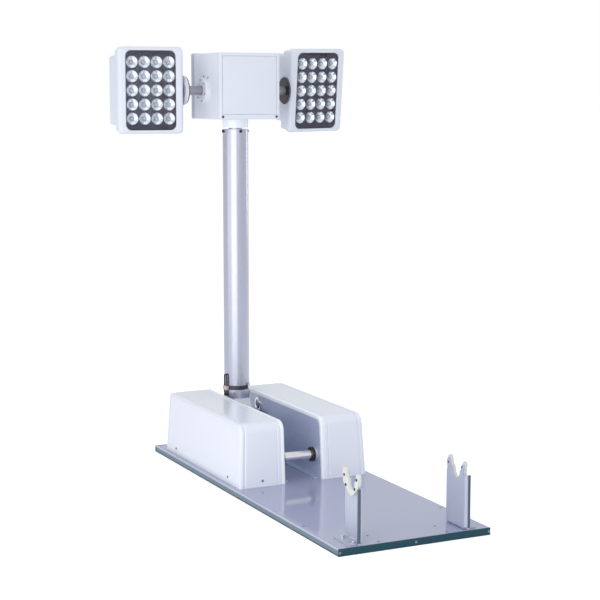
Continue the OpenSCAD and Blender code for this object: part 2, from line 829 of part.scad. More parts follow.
base_panel();
end_strip(front_y);  // front_edge_strip
end_strip(rear_y - edging_t);  // rear_edge_strip
edge_rail(-1);  // left_edge_rail
edge_rail(1);  // right_edge_rail
cover(-1);  // left_cover
cover(1);  // right_cover
side_frame(-1);  // left_side_frame
side_frame(1);  // right_side_frame
cross_bar();
cross_bar_collars();
pivot_bearings();
guide_studs();
cradle_bracket(-1);  // left_cradle_bracket
cradle_bracket(1);  // right_cradle_bracket
cradle_fork(-1);  // left_cradle_fork
cradle_fork(1);  // right_cradle_fork
mast_foot();
pivot_shaft();
mast_tube();
foot_clamp_band();
cable_link();
cable_clip();
section_two();
section_three();
section_four();
mast_collar();
head_box();
head_front_panel();
head_rear_cover();
pan_spindle();
tilt_flanges();
tilt_shaft(-1, 0);  // left_tilt_shaft
lamp_housing(-1, 0);  // left_lamp_housing
lamp_body(-1, 0);  // left_lamp_body
lamp_bezel(-1, 0);  // left_lamp_bezel
lamp_mask(-1, 0);  // left_lamp_mask
lamp_reflectors(-1, 0);  // left_lamp_reflectors
lamp_glass(-1, 0);  // left_lamp_glass
tilt_shaft(1, right_tilt);  // right_tilt_shaft
lamp_housing(1, right_tilt);  // right_lamp_housing
lamp_body(1, right_tilt);  // right_lamp_body
lamp_bezel(1, right_tilt);  // right_lamp_bezel
lamp_mask(1, right_tilt);  // right_lamp_mask
lamp_reflectors(1, right_tilt);  // right_lamp_reflectors
lamp_glass(1, right_tilt);  // right_lamp_glass
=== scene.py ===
"""Looks of a folding telescopic light mast that stands on a flat base panel.

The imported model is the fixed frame. The moulded covers, the cross bar, the head, the lamps and every fastener
are surfaces worked out with numpy, and each piece and each node gets its own finish.
Metres, +Z up, +Y towards the mast end of the panel.
"""

import json
import logging
import math
from dataclasses import dataclass
from enum import Enum
from typing import Sequence

import bmesh
import bpy
import numpy as np
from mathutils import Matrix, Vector


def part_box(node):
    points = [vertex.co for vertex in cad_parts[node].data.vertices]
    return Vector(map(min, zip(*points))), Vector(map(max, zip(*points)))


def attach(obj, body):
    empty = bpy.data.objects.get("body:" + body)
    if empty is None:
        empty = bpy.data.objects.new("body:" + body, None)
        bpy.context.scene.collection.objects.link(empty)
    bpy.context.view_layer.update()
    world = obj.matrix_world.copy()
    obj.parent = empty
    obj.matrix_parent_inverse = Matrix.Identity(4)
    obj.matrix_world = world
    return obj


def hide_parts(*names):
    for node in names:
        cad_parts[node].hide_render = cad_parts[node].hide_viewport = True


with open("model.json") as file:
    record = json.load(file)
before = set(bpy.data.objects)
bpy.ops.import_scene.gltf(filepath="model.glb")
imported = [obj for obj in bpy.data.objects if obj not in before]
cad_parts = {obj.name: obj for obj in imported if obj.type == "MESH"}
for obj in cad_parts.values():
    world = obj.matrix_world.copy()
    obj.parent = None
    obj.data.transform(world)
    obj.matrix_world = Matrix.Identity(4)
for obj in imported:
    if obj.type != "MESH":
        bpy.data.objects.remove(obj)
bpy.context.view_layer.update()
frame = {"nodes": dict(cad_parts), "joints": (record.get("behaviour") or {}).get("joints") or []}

TAU = 2 * math.pi
WELD = 1e-6
SHARP = math.radians(32)
LEAST_R = 0.0005
STEEP = 0.9
GRAIN_DETAIL, CLOUD_DETAIL = 3.0, 2.0
GRAIN_DARK, CLOUD_DARK = 0.6, 0.5
log = logging.getLogger("light_mast")

Colour = tuple[float, float, float]
Point = tuple[float, float, float]
Pairs = Sequence[tuple[float, float]]
Socket = bpy.types.NodeSocket
Station = list[float]


class Side(Enum):
    """The two sides of the object, with the sign of X on each."""

    LEFT = -1
    RIGHT = 1

    def named(self, rest: str) -> str:
        """The name of this side's own piece or node."""
        return f"{self.name.lower()}_{rest}"


class Drive(Enum):
    """The recess in a screw's head."""

    CROSS = "cross"
    SOCKET = "socket"


class Grain(Enum):
    """How the fine pattern of a finish is stretched along X, Y and Z."""

    EVEN = (1.0, 1.0, 1.0)
    ALONG_X = (0.02, 1.0, 1.0)
    ALONG_Y = (1.0, 0.02, 1.0)
    ALONG_Z = (1.0, 1.0, 0.02)


class ShaderTree:
    """The node tree of a material or of the world, with short ways to add and join its nodes."""

    NOISE_MIDDLE = (0.3, 0.7)

    def __init__(self, owner: bpy.types.Material | bpy.types.World, bare: bool = False) -> None:
        """Starts the tree.

        Args:
            owner: The material or world.
            bare: Whether it starts empty, without the usual shader.
        """
        owner.use_nodes = True
        self.owner = owner
        self.tree = owner.node_tree
        if bare:
            self.tree.nodes.clear()
        self.shader = self.tree.nodes.get("Principled BSDF")

    def add(self, kind: str, inputs: dict | None = None, **settings: object) -> bpy.types.Node:
        """Adds one node.

        Args:
            kind: Blender's name of the node type.
            inputs: What goes into its sockets, as in fill.
            settings: Values of the node's own properties.

        Returns:
            The new node.
        """
        node = self.tree.nodes.new(kind)
        for key, value in settings.items():
            setattr(node, key, value)
        self.fill(node, inputs or {})
        return node

    def fill(self, node: bpy.types.Node, inputs: dict) -> None:
        """Fills a node's sockets: by a socket's name or number, what feed takes."""
        for key, value in inputs.items():
            self.feed(node.inputs[key], value)

    def feed(self, target: Socket, value: object) -> None:
        """Gives one socket its constant or its link.

        Args:
            target: The socket.
            value: A number, vector or colour, a socket to join, or a node whose first output is joined.
        """
        if isinstance(value, bpy.types.Node):
            value = value.outputs[0]
        if isinstance(value, bpy.types.NodeSocket):
            self.tree.links.new(value, target)
        else:
            target.default_value = (*value, 1.0) if target.type == "RGBA" else value

    def place(self) -> Socket:
        """The point on the piece in object coordinates."""
        return self.add("ShaderNodeTexCoord").outputs["Object"]

    def noise(self, scale: float, detail: float, grain: Grain = Grain.EVEN) -> Socket:
        """A noise pattern on object coordinates, stretched along the grain.

        Args:
            scale: Cells to the metre.
            detail: Octaves of finer noise.
            grain: Direction in which the pattern is drawn out.

        Returns:
            The pattern, from 0 to 1.
        """
        mapping = self.add("ShaderNodeMapping", {"Vector": self.place(), "Scale": grain.value})
        noise = self.add("ShaderNodeTexNoise", {"Vector": mapping, "Scale": scale, "Detail": detail})
        return noise.outputs["Fac"]

    def ranged(self, source: Socket, low: float, high: float) -> Socket:
        """Maps the middle of a noise pattern to a range of values.

        Args:
            source: The pattern.
            low: Value at the start of its middle.
            high: Value at the end.

        Returns:
            The mapped value.
        """
        start, end = self.NOISE_MIDDLE
        limits = {"From Min": start, "From Max": end, "To Min": low, "To Max": high}
        return self.add("ShaderNodeMapRange", {"Value": source, **limits}).outputs["Result"]

    def tinted(self, factor: Socket, first: Colour | Socket, second: Colour) -> Socket:
        """Mixes two colours by a factor.

        Args:
            factor: Share of the second colour.
            first: A colour, or the socket that gives it.
            second: The other colour.

        Returns:
            The mixed colour.
        """
        mix = self.add("ShaderNodeMix", {"Factor": factor}, data_type="RGBA")
        ends = [s for s in mix.inputs if s.type == "RGBA"]
        for target, colour in zip(ends, (first, second)):
            self.feed(target, colour)
        return next(s for s in mix.outputs if s.type == "RGBA")


@dataclass(frozen=True)
class Finish:
    """One surface finish: a colour with a fine grain, a faint cloudiness and a gloss."""

    name: str  # Name of the material
    colour: Colour  # Base colour, linear
    roughness: float  # Mean roughness
    spread: float = 0.04  # How far the grain moves the roughness each way
    metallic: float = 0.0  # 1 for bare metal
    specular: float = 0.5  # Level of plain reflection, 0.5 for common plastics
    coat: float = 0.0  # Weight of a clear coat
    coat_roughness: float = 0.05  # Roughness of that coat
    grain: Grain = Grain.EVEN  # Direction of the grain
    grain_scale: float = 700.0  # Grains to the metre
    bump: float = 0.15  # Strength of the grain's relief
    bump_depth: float = 0.0002  # Depth of the grain's relief
    shade: float = 0.05  # Share by which the colour darkens in the grain
    cloud_scale: float = 5.0  # Clouds of slightly darker colour to the metre

    def material(self) -> bpy.types.Material:
        """The finish's material, made at its first use."""
        return bpy.data.materials.get(self.name) or self.build().owner

    def darker(self, share: float) -> Colour:
        """The base colour darkened by a share."""
        return tuple(c * (1 - share) for c in self.colour)

    def build(self) -> ShaderTree:
        """Builds the material: constants on the shader's sockets, grain in colour, roughness and relief.

        Returns:
            The finished tree.
        """
        tree = ShaderTree(bpy.data.materials.new(self.name))
        fine = tree.noise(self.grain_scale, GRAIN_DETAIL, self.grain)
        cloud = tree.ranged(tree.noise(self.cloud_scale, CLOUD_DETAIL), 0.0, self.shade)
        base = tree.tinted(tree.ranged(fine, 0.0, 1.0), self.darker(self.shade), self.colour)
        relief = {"Strength": self.bump, "Distance": self.bump_depth, "Height": fine}
        tree.fill(tree.shader, {
            "Metallic": self.metallic, "Specular IOR Level": self.specular,
            "Coat Weight": self.coat, "Coat Roughness": self.coat_roughness,
            "Base Color": tree.tinted(cloud, base, self.darker(CLOUD_DARK)),
            "Roughness": tree.ranged(fine, self.roughness - self.spread, self.roughness + self.spread),
            "Normal": tree.add("ShaderNodeBump", relief)})
        return tree


@dataclass(frozen=True)
class Band:
    """One band of a banded finish, from a place along the axis to the next band."""

    start: float
    colour: Colour
    roughness: float


@dataclass(frozen=True)
class BandedFinish(Finish):
    """A finish whose colour and roughness change at places along one axis: here mostly painted highlight, shade
    and reflection, such as the light and dark lines along an edge rail.
    """

    axis: int = 2  # 0, 1 or 2 for X, Y or Z
    reach: float = 1.0  # Distance from the origin at which the bands end
    # The bands, outwards from the origin. The distance counts on both sides of it
    bands: tuple[Band, ...] = ()

    def build(self) -> ShaderTree:
        """Adds the bands to the plain finish. A ramp's alpha carries the roughness.

        Returns:
            The finished tree.
        """
        tree = Finish.build(self)
        parts = tree.add("ShaderNodeSeparateXYZ", {"Vector": tree.place()})
        size = tree.add("ShaderNodeMath", {0: parts.outputs[self.axis]}, operation="ABSOLUTE")
        share = tree.add("ShaderNodeMapRange", {"Value": size, "From Max": self.reach})
        ramp = tree.add("ShaderNodeValToRGB", {"Fac": share})
        ramp.color_ramp.interpolation = "CONSTANT"
        stops = ramp.color_ramp.elements
        while len(stops) < len(self.bands):
            stops.new(1.0)
        for stop, band in zip(stops, self.bands):
            stop.position = band.start / self.reach
            stop.color = (*band.colour, band.roughness)
        fine = tree.ranged(tree.noise(self.grain_scale, GRAIN_DETAIL, self.grain), 0.0, self.shade)
        colour = tree.tinted(fine, ramp.outputs["Color"], self.darker(GRAIN_DARK))
        tree.fill(tree.shader, {"Base Color": colour, "Roughness": ramp.outputs["Alpha"]})
        return tree


@dataclass(frozen=True)
class ClearFinish(Finish):
    """Clear glass."""

    ior: float = 1.45

    def build(self) -> ShaderTree:
        """Adds full transmission to the plain finish.

        Returns:
            The finished tree.
        """
        tree = Finish.build(self)
        tree.fill(tree.shader, {"Transmission Weight": 1.0, "IOR": self.ior})
        return tree


WHITE: Colour = (0.77, 0.80, 0.88)
# Painted highlight: the lighter white of the covers' bay side, standing in for the gloss that lights the lip
# and rim there.
LIP_HIGHLIGHT: Colour = (0.90, 0.92, 0.97)
PANEL = Finish("lacquered_panel", (0.355, 0.375, 0.53), 0.07, 0.02, coat=0.2, grain_scale=140.0, bump=0.015)
EDGING = Finish("teal_edging", (0.004, 0.060, 0.090), 0.4, 0.06, specular=0.3, grain=Grain.ALONG_X,
                grain_scale=500.0, shade=0.25)
# The edge rails: painted shade along the bottom 3.1 mm and a painted highlight from 17.4 mm up, standing in for
# the light and shade on the rail's lips. The grey between is the rail's own colour.
RAIL = BandedFinish("grey_edge_rail", (0.16, 0.22, 0.28), 0.4, metallic=0.3, grain=Grain.ALONG_Y,
                    grain_scale=500.0, shade=0.2, axis=2, reach=0.03,
                    bands=(Band(0.0, (0.03, 0.07, 0.09), 0.4), Band(0.0031, (0.15, 0.21, 0.27), 0.45),
                           Band(0.0174, (0.50, 0.55, 0.66), 0.3)))
# The covers' white, with a band of painted highlight within 79.5 mm of the middle over the bay-side lip and
# rim. The mast collar also takes this finish and lies wholly inside that band.
COVER = BandedFinish("moulded_white", WHITE, 0.24, coat=0.3, coat_roughness=0.06, grain_scale=450.0,
                     bump=0.04, shade=0.015, axis=0, reach=0.3,
                     bands=(Band(0.0, LIP_HIGHLIGHT, 0.2), Band(0.0795, WHITE, 0.24)))
# Painted shade: the rear cap's white darkened to a grey, standing in for the shade on the strip round the back
# of the head.
REAR_CAP_SHADE = Finish("powder_grey_white", (0.50, 0.52, 0.60), 0.46, 0.08, grain_scale=650.0, bump=0.3,
                  bump_depth=0.0004, shade=0.04)
POWDER = Finish("powder_white", WHITE, 0.46, 0.08, grain_scale=650.0, bump=0.3, bump_depth=0.0004, shade=0.04)
FRAME_SHEET = Finish("anodised_sheet", (0.53, 0.60, 0.78), 0.42, 0.06, metallic=0.25, grain=Grain.ALONG_Y,
                     grain_scale=600.0, shade=0.14)
BRACKET_SHEET = Finish("satin_sheet", (0.50, 0.54, 0.66), 0.4, 0.07, metallic=0.25, grain=Grain.ALONG_Z,
                       grain_scale=600.0, shade=0.12)
# Painted shade: a dark blue-grey for the strip at each bracket flange's outer edge, where the cut edge and the
# corner behind it lie in shade.
FLANGE_SHADE = Finish("dark_trim", (0.075, 0.105, 0.15), 0.45, 0.06, grain=Grain.ALONG_Z, shade=0.2)
STAINLESS = Finish("polished_bar", (0.88, 0.86, 0.86), 0.24, 0.06, metallic=1.0, grain=Grain.ALONG_X,
                   grain_scale=900.0, shade=0.18)
BUSH = Finish("bright_bush", (0.80, 0.80, 0.84), 0.3, 0.06, metallic=0.6, grain_scale=900.0, shade=0.1)
BRIGHT = Finish("bright_fastener", (0.72, 0.70, 0.72), 0.2, 0.06, metallic=1.0, grain_scale=1500.0, shade=0.2)
BLACK = Finish("black_moulding", (0.018, 0.018, 0.022), 0.42, 0.1, grain_scale=1200.0, bump=0.3, shade=0.4)
BEARING = Finish("dark_bearing", (0.09, 0.09, 0.11), 0.45, 0.08, grain_scale=900.0, shade=0.3)
STUD = Finish("polished_stud", (0.78, 0.78, 0.80), 0.1, metallic=1.0, grain_scale=900.0, bump=0.03, shade=0.1)
FORK = Finish("cream_fork", (0.70, 0.715, 0.67), 0.5, 0.08, grain_scale=500.0, bump=0.25, shade=0.1)
CASTING = Finish("satin_casting", (0.60, 0.61, 0.68), 0.3, 0.07, metallic=0.9, grain_scale=800.0, shade=0.12)
SHAFT = Finish("ground_shaft", (0.60, 0.60, 0.63), 0.2, 0.06, metallic=1.0, grain=Grain.ALONG_X, shade=0.2)
MAST = Finish("anodised_tube", (0.42, 0.435, 0.51), 0.26, 0.02, metallic=0.9, grain=Grain.ALONG_Z,
              grain_scale=420.0, bump=0.02, shade=0.03)
STRAP = Finish("dark_strap", (0.10, 0.10, 0.12), 0.28, 0.1, metallic=0.9, grain_scale=260.0, bump=0.6,
               bump_depth=0.0006, shade=0.5)
RUBBER = Finish("black_rubber", (0.014, 0.013, 0.016), 0.38, 0.1, bump=0.3, shade=0.4)
CLIP = Finish("pale_clip", (0.70, 0.56, 0.57), 0.4, 0.06, grain_scale=800.0, shade=0.12)
MASK = Finish("dark_mask", (0.104, 0.099, 0.145), 0.42, 0.08, specular=0.3, grain_scale=1400.0, bump=0.3,
              shade=0.3)
MIRROR = Finish("reflector_metal", (0.82, 0.83, 0.88), 0.22, 0.05, metallic=1.0, grain_scale=600.0, bump=0.05)
LENS = Finish("led_lens", (0.60, 0.65, 0.71), 0.14, coat=0.8, grain_scale=2500.0, shade=0.25)
# The tilt shafts: grey cast metal, then a near-black band from 187.8 to 194.4 mm out that is a painted dark
# reflection on the polished disc's rim, then pale grey beyond it.
TILT = BandedFinish("cast_tilt_metal", (0.34, 0.34, 0.38), 0.4, metallic=0.8, grain_scale=420.0, bump=0.7,
                    bump_depth=0.0012, shade=0.35, axis=0, reach=0.4,
                    bands=(Band(0.0, (0.36, 0.36, 0.40), 0.45), Band(0.1878, (0.05, 0.045, 0.055), 0.2),
                           Band(0.1944, (0.40, 0.40, 0.46), 0.4)))
# Painted reflection: a near-black metal for the plate on the tilt disc's head side, standing in for the dark
# that the polished disc reflects.
DISC_REFLECTION = Finish("polished_disc", (0.055, 0.047, 0.052), 0.12, metallic=1.0, grain_scale=300.0, bump=0.05,
                   shade=0.3)
WINDOW = ClearFinish("window_glass", (0.96, 0.98, 1.0), 0.03, 0.01, grain_scale=60.0, bump=0.0, shade=0.01,
                     ior=1.22)
DARK_SCREW = Finish("dark_screw", (0.05, 0.05, 0.06), 0.32, 0.08, metallic=0.7, grain_scale=1500.0, shade=0.3)
GREY_SCREW = Finish("grey_screw", (0.30, 0.31, 0.36), 0.3, 0.08, metallic=0.9, grain_scale=1500.0, shade=0.25)


def both(*rests: str) -> tuple[str, ...]:
    """The names of the left and the right node of each kind."""
    return tuple(side.named(rest) for rest in rests for side in Side)


NODE_FINISHES: dict[Finish, tuple[str, ...]] = {
    PANEL: ("base_panel",),
    EDGING: ("front_edge_strip", "rear_edge_strip"),
    RAIL: both("edge_rail"),
    COVER: (*both("cover"), "mast_collar"),
    FRAME_SHEET: both("side_frame"),
    STAINLESS: ("cross_bar",),
    BLACK: ("cross_bar_collars",),
    BEARING: ("pivot_bearings",),
    STUD: ("guide_studs",),
    BRACKET_SHEET: both("cradle_bracket"),
    FORK: both("cradle_fork"),
    CASTING: ("mast_foot",),
    SHAFT: ("pivot_shaft", "pan_spindle"),
    MAST: ("mast_tube", "section_two", "section_three", "section_four"),
    STRAP: ("foot_clamp_band",),
    RUBBER: ("cable_link",),
    CLIP: ("cable_clip",),
    POWDER: ("head_box", "head_front_panel", "head_rear_cover", "tilt_flanges",
             *both("lamp_housing", "lamp_body", "lamp_bezel")),
    TILT: both("tilt_shaft"),
    MASK: both("lamp_mask"),
    MIRROR: both("lamp_reflectors"),
    WINDOW: both("lamp_glass"),
}


def turned(axis: str, degrees: float) -> np.ndarray:
    """A turn about one axis.

    Args:
        axis: "X", "Y" or "Z".
        degrees: Angle, by the right-hand rule.

    Returns:
        A 4 by 4 matrix.
    """
    first, second = {"X": (1, 2), "Y": (2, 0), "Z": (0, 1)}[axis]
    cosine, sine = math.cos(math.radians(degrees)), math.sin(math.radians(degrees))
    matrix = np.eye(4)
    matrix[first, first] = matrix[second, second] = cosine
    matrix[first, second], matrix[second, first] = -sine, sine
    return matrix


def shifted(x: float, y: float, z: float) -> np.ndarray:
    """A 4 by 4 matrix that moves by x, y and z."""
    matrix = np.eye(4)
    matrix[:3, 3] = x, y, z
    return matrix


def facing(origin: Sequence[float], normal: Sequence[float], spin: float = 0.0) -> np.ndarray:
    """A place whose +Z points along a normal.

    Args:
        origin: Where the place is.
        normal: Direction of its +Z.
        spin: Degrees turned about that direction.

    Returns:
        A 4 by 4 matrix.
    """
    up = np.asarray(normal, float) / np.linalg.norm(normal)
    side = np.cross((0.0, 1.0, 0.0) if abs(up[2]) > STEEP else (0.0, 0.0, 1.0), up)
    side /= np.linalg.norm(side)
    matrix = shifted(*origin)
    matrix[:3, :3] = np.column_stack([side, np.cross(up, side), up])
    return matrix @ turned("Z", spin)


@dataclass(frozen=True)
class Surface:
    """Points and four-sided faces of one surface."""

    points: np.ndarray
    faces: np.ndarray

    @staticmethod
    def grid(points: np.ndarray, wrap_rows: bool = False, wrap_columns: bool = False) -> "Surface":
        """Joins a grid of points, rows by columns by 3, with one face between each four neighbours.

        Args:
            points: The grid.
            wrap_rows: Whether the last row joins the first.
            wrap_columns: Whether the last column joins the first.

        Returns:
            The surface.
        """
        rows, columns = points.shape[:2]
        starts = np.arange(rows - (not wrap_rows)), np.arange(columns - (not wrap_columns))
        i, j = np.meshgrid(*starts, indexing="ij")
        down, right = (i + 1) % rows, (j + 1) % columns
        corners = [i * columns + j, i * columns + right, down * columns + right, down * columns + j]
        return Surface(points.reshape(-1, 3), np.stack(corners, -1).reshape(-1, 4))

    @staticmethod
    def joined(parts: Sequence["Surface"]) -> "Surface":
        """Several surfaces as one."""
        starts = np.cumsum([0] + [len(p.points) for p in parts[:-1]])
        return Surface(np.concatenate([p.points for p in parts]),
                       np.concatenate([p.faces + s for p, s in zip(parts, starts)]))

    def at(self, *places: np.ndarray) -> "Surface":
        """A copy of the surface at each place, as one surface."""
        return Surface.joined([Surface(self.points @ p[:3, :3].T + p[:3, 3], self.faces) for p in places])

    def piece(self, name: str, body: str, slot: str, finish: Finish, instead_of: str = "",
              sharp: float = SHARP) -> None:
        """Makes the surface an object that rides on a body.

        Args:
            name: Name of the piece.
            body: The body that carries it.
            slot: The record's material slot; not used.
            finish: Its finish.
            instead_of: The node that it replaces, if any.
            sharp: Angle between faces above which an edge stays crisp.
        """
        mesh = bpy.data.meshes.new(name)
        mesh.from_pydata(self.points.tolist(), [], self.faces.tolist())
        work = bmesh.new()
        work.from_mesh(mesh)
        bmesh.ops.remove_doubles(work, verts=work.verts, dist=WELD)
        bmesh.ops.dissolve_degenerate(work, edges=work.edges, dist=WELD)
        bmesh.ops.recalc_face_normals(work, faces=work.faces)
        work.to_mesh(mesh)
        work.free()
        mesh.shade_smooth()
        mesh.set_sharp_from_angle(angle=sharp)
        mesh.materials.append(finish.material())
        piece = bpy.data.objects.new(name, mesh)
        bpy.context.scene.collection.objects.link(piece)
        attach(piece, body)
        if instead_of:
            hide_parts(instead_of)
        log.info("%s: %d faces on %s", name, len(mesh.polygons), body)


def quarter(count: int) -> tuple[np.ndarray, np.ndarray]:
    """Sines and cosines over a quarter turn, for fillets."""
    angle = np.linspace(0, TAU / 4, count)
    return np.sin(angle), np.cos(angle)


def revolved(profile: Pairs, segments: int) -> Surface:
    """Carries a profile round the Z axis: (r, z) becomes (r cos t, r sin t, z) for t over a full turn.

    Args:
        profile: Pairs of radius and height.
        segments: Steps round the turn.

    Returns:
        The surface of revolution.
    """
    radius, height = np.asarray(profile, float).T[:, :, None]
    turn = np.linspace(0, TAU, segments, endpoint=False)
    grid = np.stack(np.broadcast_arrays(radius * np.cos(turn), radius * np.sin(turn), height), -1)
    return Surface.grid(grid, wrap_columns=True)


def bevelled(bore: float, rim: float, near: float, far: float, soft: float) -> Pairs:
    """The profile of a bevelled disc, or of a ring where it has a bore: radius and height."""
    section = [(bore, near), (rim - soft, near), (rim, near + soft), (rim, far - soft), (rim - soft, far),
               (bore, far)]
    return section + section[:1] if bore else section


def rect_loft(rows: np.ndarray, arc: int = 7, wrap: bool = False) -> Surface:
    """Carries a rectangle with round corners along Y.

    Each station gives width, height, corner radius, Y and the Z of its middle. A corner's points are its
    centre, half the size less the radius, plus the radius times (cos t, sin t). One of no size is a pole.

    Args:
        rows: One row per station.
        arc: Points on each corner.
        wrap: Whether the last station joins the first.

    Returns:
        The lofted surface.
    """
    width, height, radius, depth, middle = rows.T[:, :, None]
    turn = (np.arange(4)[:, None] * 90 + np.linspace(0, 90, arc)).ravel() * math.pi / 180
    corner_x = np.repeat((1.0, -1.0, -1.0, 1.0), arc)
    corner_z = np.repeat((1.0, 1.0, -1.0, -1.0), arc)
    radius = np.minimum(radius, np.minimum(width, height) / 2)
    x = corner_x * (width / 2 - radius) + radius * np.cos(turn)
    z = corner_z * (height / 2 - radius) + radius * np.sin(turn) + middle
    return Surface.grid(np.stack(np.broadcast_arrays(x, depth, z), -1), wrap_rows=wrap, wrap_columns=True)


def stations(*rows: Sequence[float] | np.ndarray) -> np.ndarray:
    """Single stations and runs of stations as one array."""
    return np.concatenate([np.atleast_2d(np.asarray(r, float)) for r in rows])


def pole(y: float, middle: float = 0.0) -> Station:
    """A station of no size, which closes an end."""
    return [0.0, 0.0, 0.0, y, middle]


@dataclass(frozen=True)
class Outline:
    """A rectangle with round corners in X and Z, from which lofts take their stations."""

    width: float
    height: float
    corner_r: float
    middle: float = 0.0

    def inset(self, amount: float, y: float) -> Station:
        """The station at a Y, smaller by an amount all round."""
        radius = max(self.corner_r - amount, LEAST_R)
        return [self.width - 2 * amount, self.height - 2 * amount, radius, y, self.middle]

    def edge(self, radius: float, face: float, way: int, count: int, flare: bool = False) -> list[Station]:
        """A round edge from a wall to a face: inset r (1 - cos t), distance from the face r (1 - sin t).

        Args:
            radius: Radius of the edge.
            face: Y of the face.
            way: 1 where the wall runs from the face towards +Y, -1 towards -Y.
            count: Number of stations.
            flare: Whether the outline grows towards the face.

        Returns:
            The stations, the wall's first.
        """
        sign = -1 if flare else 1
        return [self.inset(sign * radius * (1 - c), face + way * radius * (1 - s))
                for s, c in zip(*quarter(count))]

    def block(self, start: float, end: float, soft: float, count: int) -> Surface:
        """A closed block along Y from start to end, with a flat front and a round rear edge."""
        return rect_loft(stations(pole(start, self.middle), self.inset(0, start),
                                  self.edge(soft, end, -1, count), pole(end, self.middle)))


@dataclass(frozen=True)
class Screw:
    """A low domed screw head with a recess, standing on the origin along +Z."""

    head_d: float  # Diameter of the head
    head_h: float  # Height of the head
    drive: Drive = Drive.CROSS  # Kind of recess
    recess_share: float = 0.6  # Recess across, as a share of the head's diameter
    dome_share: float = 0.7  # How much lower the rim is than the top, as a share of the height
    sink: float = 0.0008  # How far the head's rim goes below the surface it sits on
    rings: int = 11  # Steps from the middle to the rim
    segments: int = 36  # Steps round the head

    def surface(self) -> Surface:
        """The head over a polar grid: a dome h (1 - share (r / R)^4), lower by half the height in the recess.

        A cross recess is where the smaller of |x| and |y| is under an arm's half width, a socket where the
        distance to a hexagon's middle is under its inner radius.

        Returns:
            The head's surface, with a skirt below its rim.
        """
        rim = self.head_d / 2
        radius = np.append(np.linspace(0, 1, self.rings), 1.0)[:, None] * rim
        turn = np.linspace(0, TAU, self.segments, endpoint=False)
        x, y = radius * np.cos(turn), radius * np.sin(turn)
        height = self.head_h * (1 - self.dome_share * (radius / rim) ** 4) * np.ones_like(x)
        reach = rim * self.recess_share
        if self.drive is Drive.CROSS:
            cut = (np.minimum(abs(x), abs(y)) < reach / 4) & (np.maximum(abs(x), abs(y)) < reach)
        else:
            cut = np.maximum(abs(x), abs(x) / 2 + abs(y) * math.sin(TAU / 6)) < reach
        height = np.where(cut, height - self.head_h / 2, height)
        height[-1] = -self.sink
        return Surface.grid(np.stack([x, y, height], -1), wrap_columns=True)


@dataclass(frozen=True)
class HexBolt:
    """A hexagon bolt head on its washer, standing on the origin along +Z."""

    across: float = 0.013  # Width of the head across its flats
    head_h: float = 0.0056  # Height of the head
    chamfer: float = 0.0007  # Chamfer of head and washer
    washer_d: float = 0.019  # Diameter of the washer
    washer_t: float = 0.0016  # Thickness of the washer
    top_share: float = 0.9  # The head's flat top, as a share of its width
    segments: int = 48  # Steps round the head

    def surface(self) -> Surface:
        """Rings of head and washer: a hexagon's radius is its inner radius over cos of the angle to a side.

        Returns:
            The surface from the middle of the head's top down to the washer's foot.
        """
        turn = np.linspace(0, TAU, self.segments, endpoint=False)
        inner, rim, base = self.across / 2, self.washer_d / 2, self.washer_t
        hexagon = inner / np.cos((turn + TAU / 12) % (TAU / 6) - TAU / 12)
        ring = np.ones_like(turn)
        top = base + self.head_h
        radius = np.stack([0 * ring, self.top_share * inner * ring, hexagon, hexagon,
                           rim * ring - self.chamfer, rim * ring, rim * ring])
        heights = [top, top, top - self.chamfer, base, base, base - self.chamfer, 0.0]
        height = np.asarray(heights)[:, None] * ring
        grid = np.stack([radius * np.cos(turn), radius * np.sin(turn), height], -1)
        return Surface.grid(grid, wrap_columns=True)


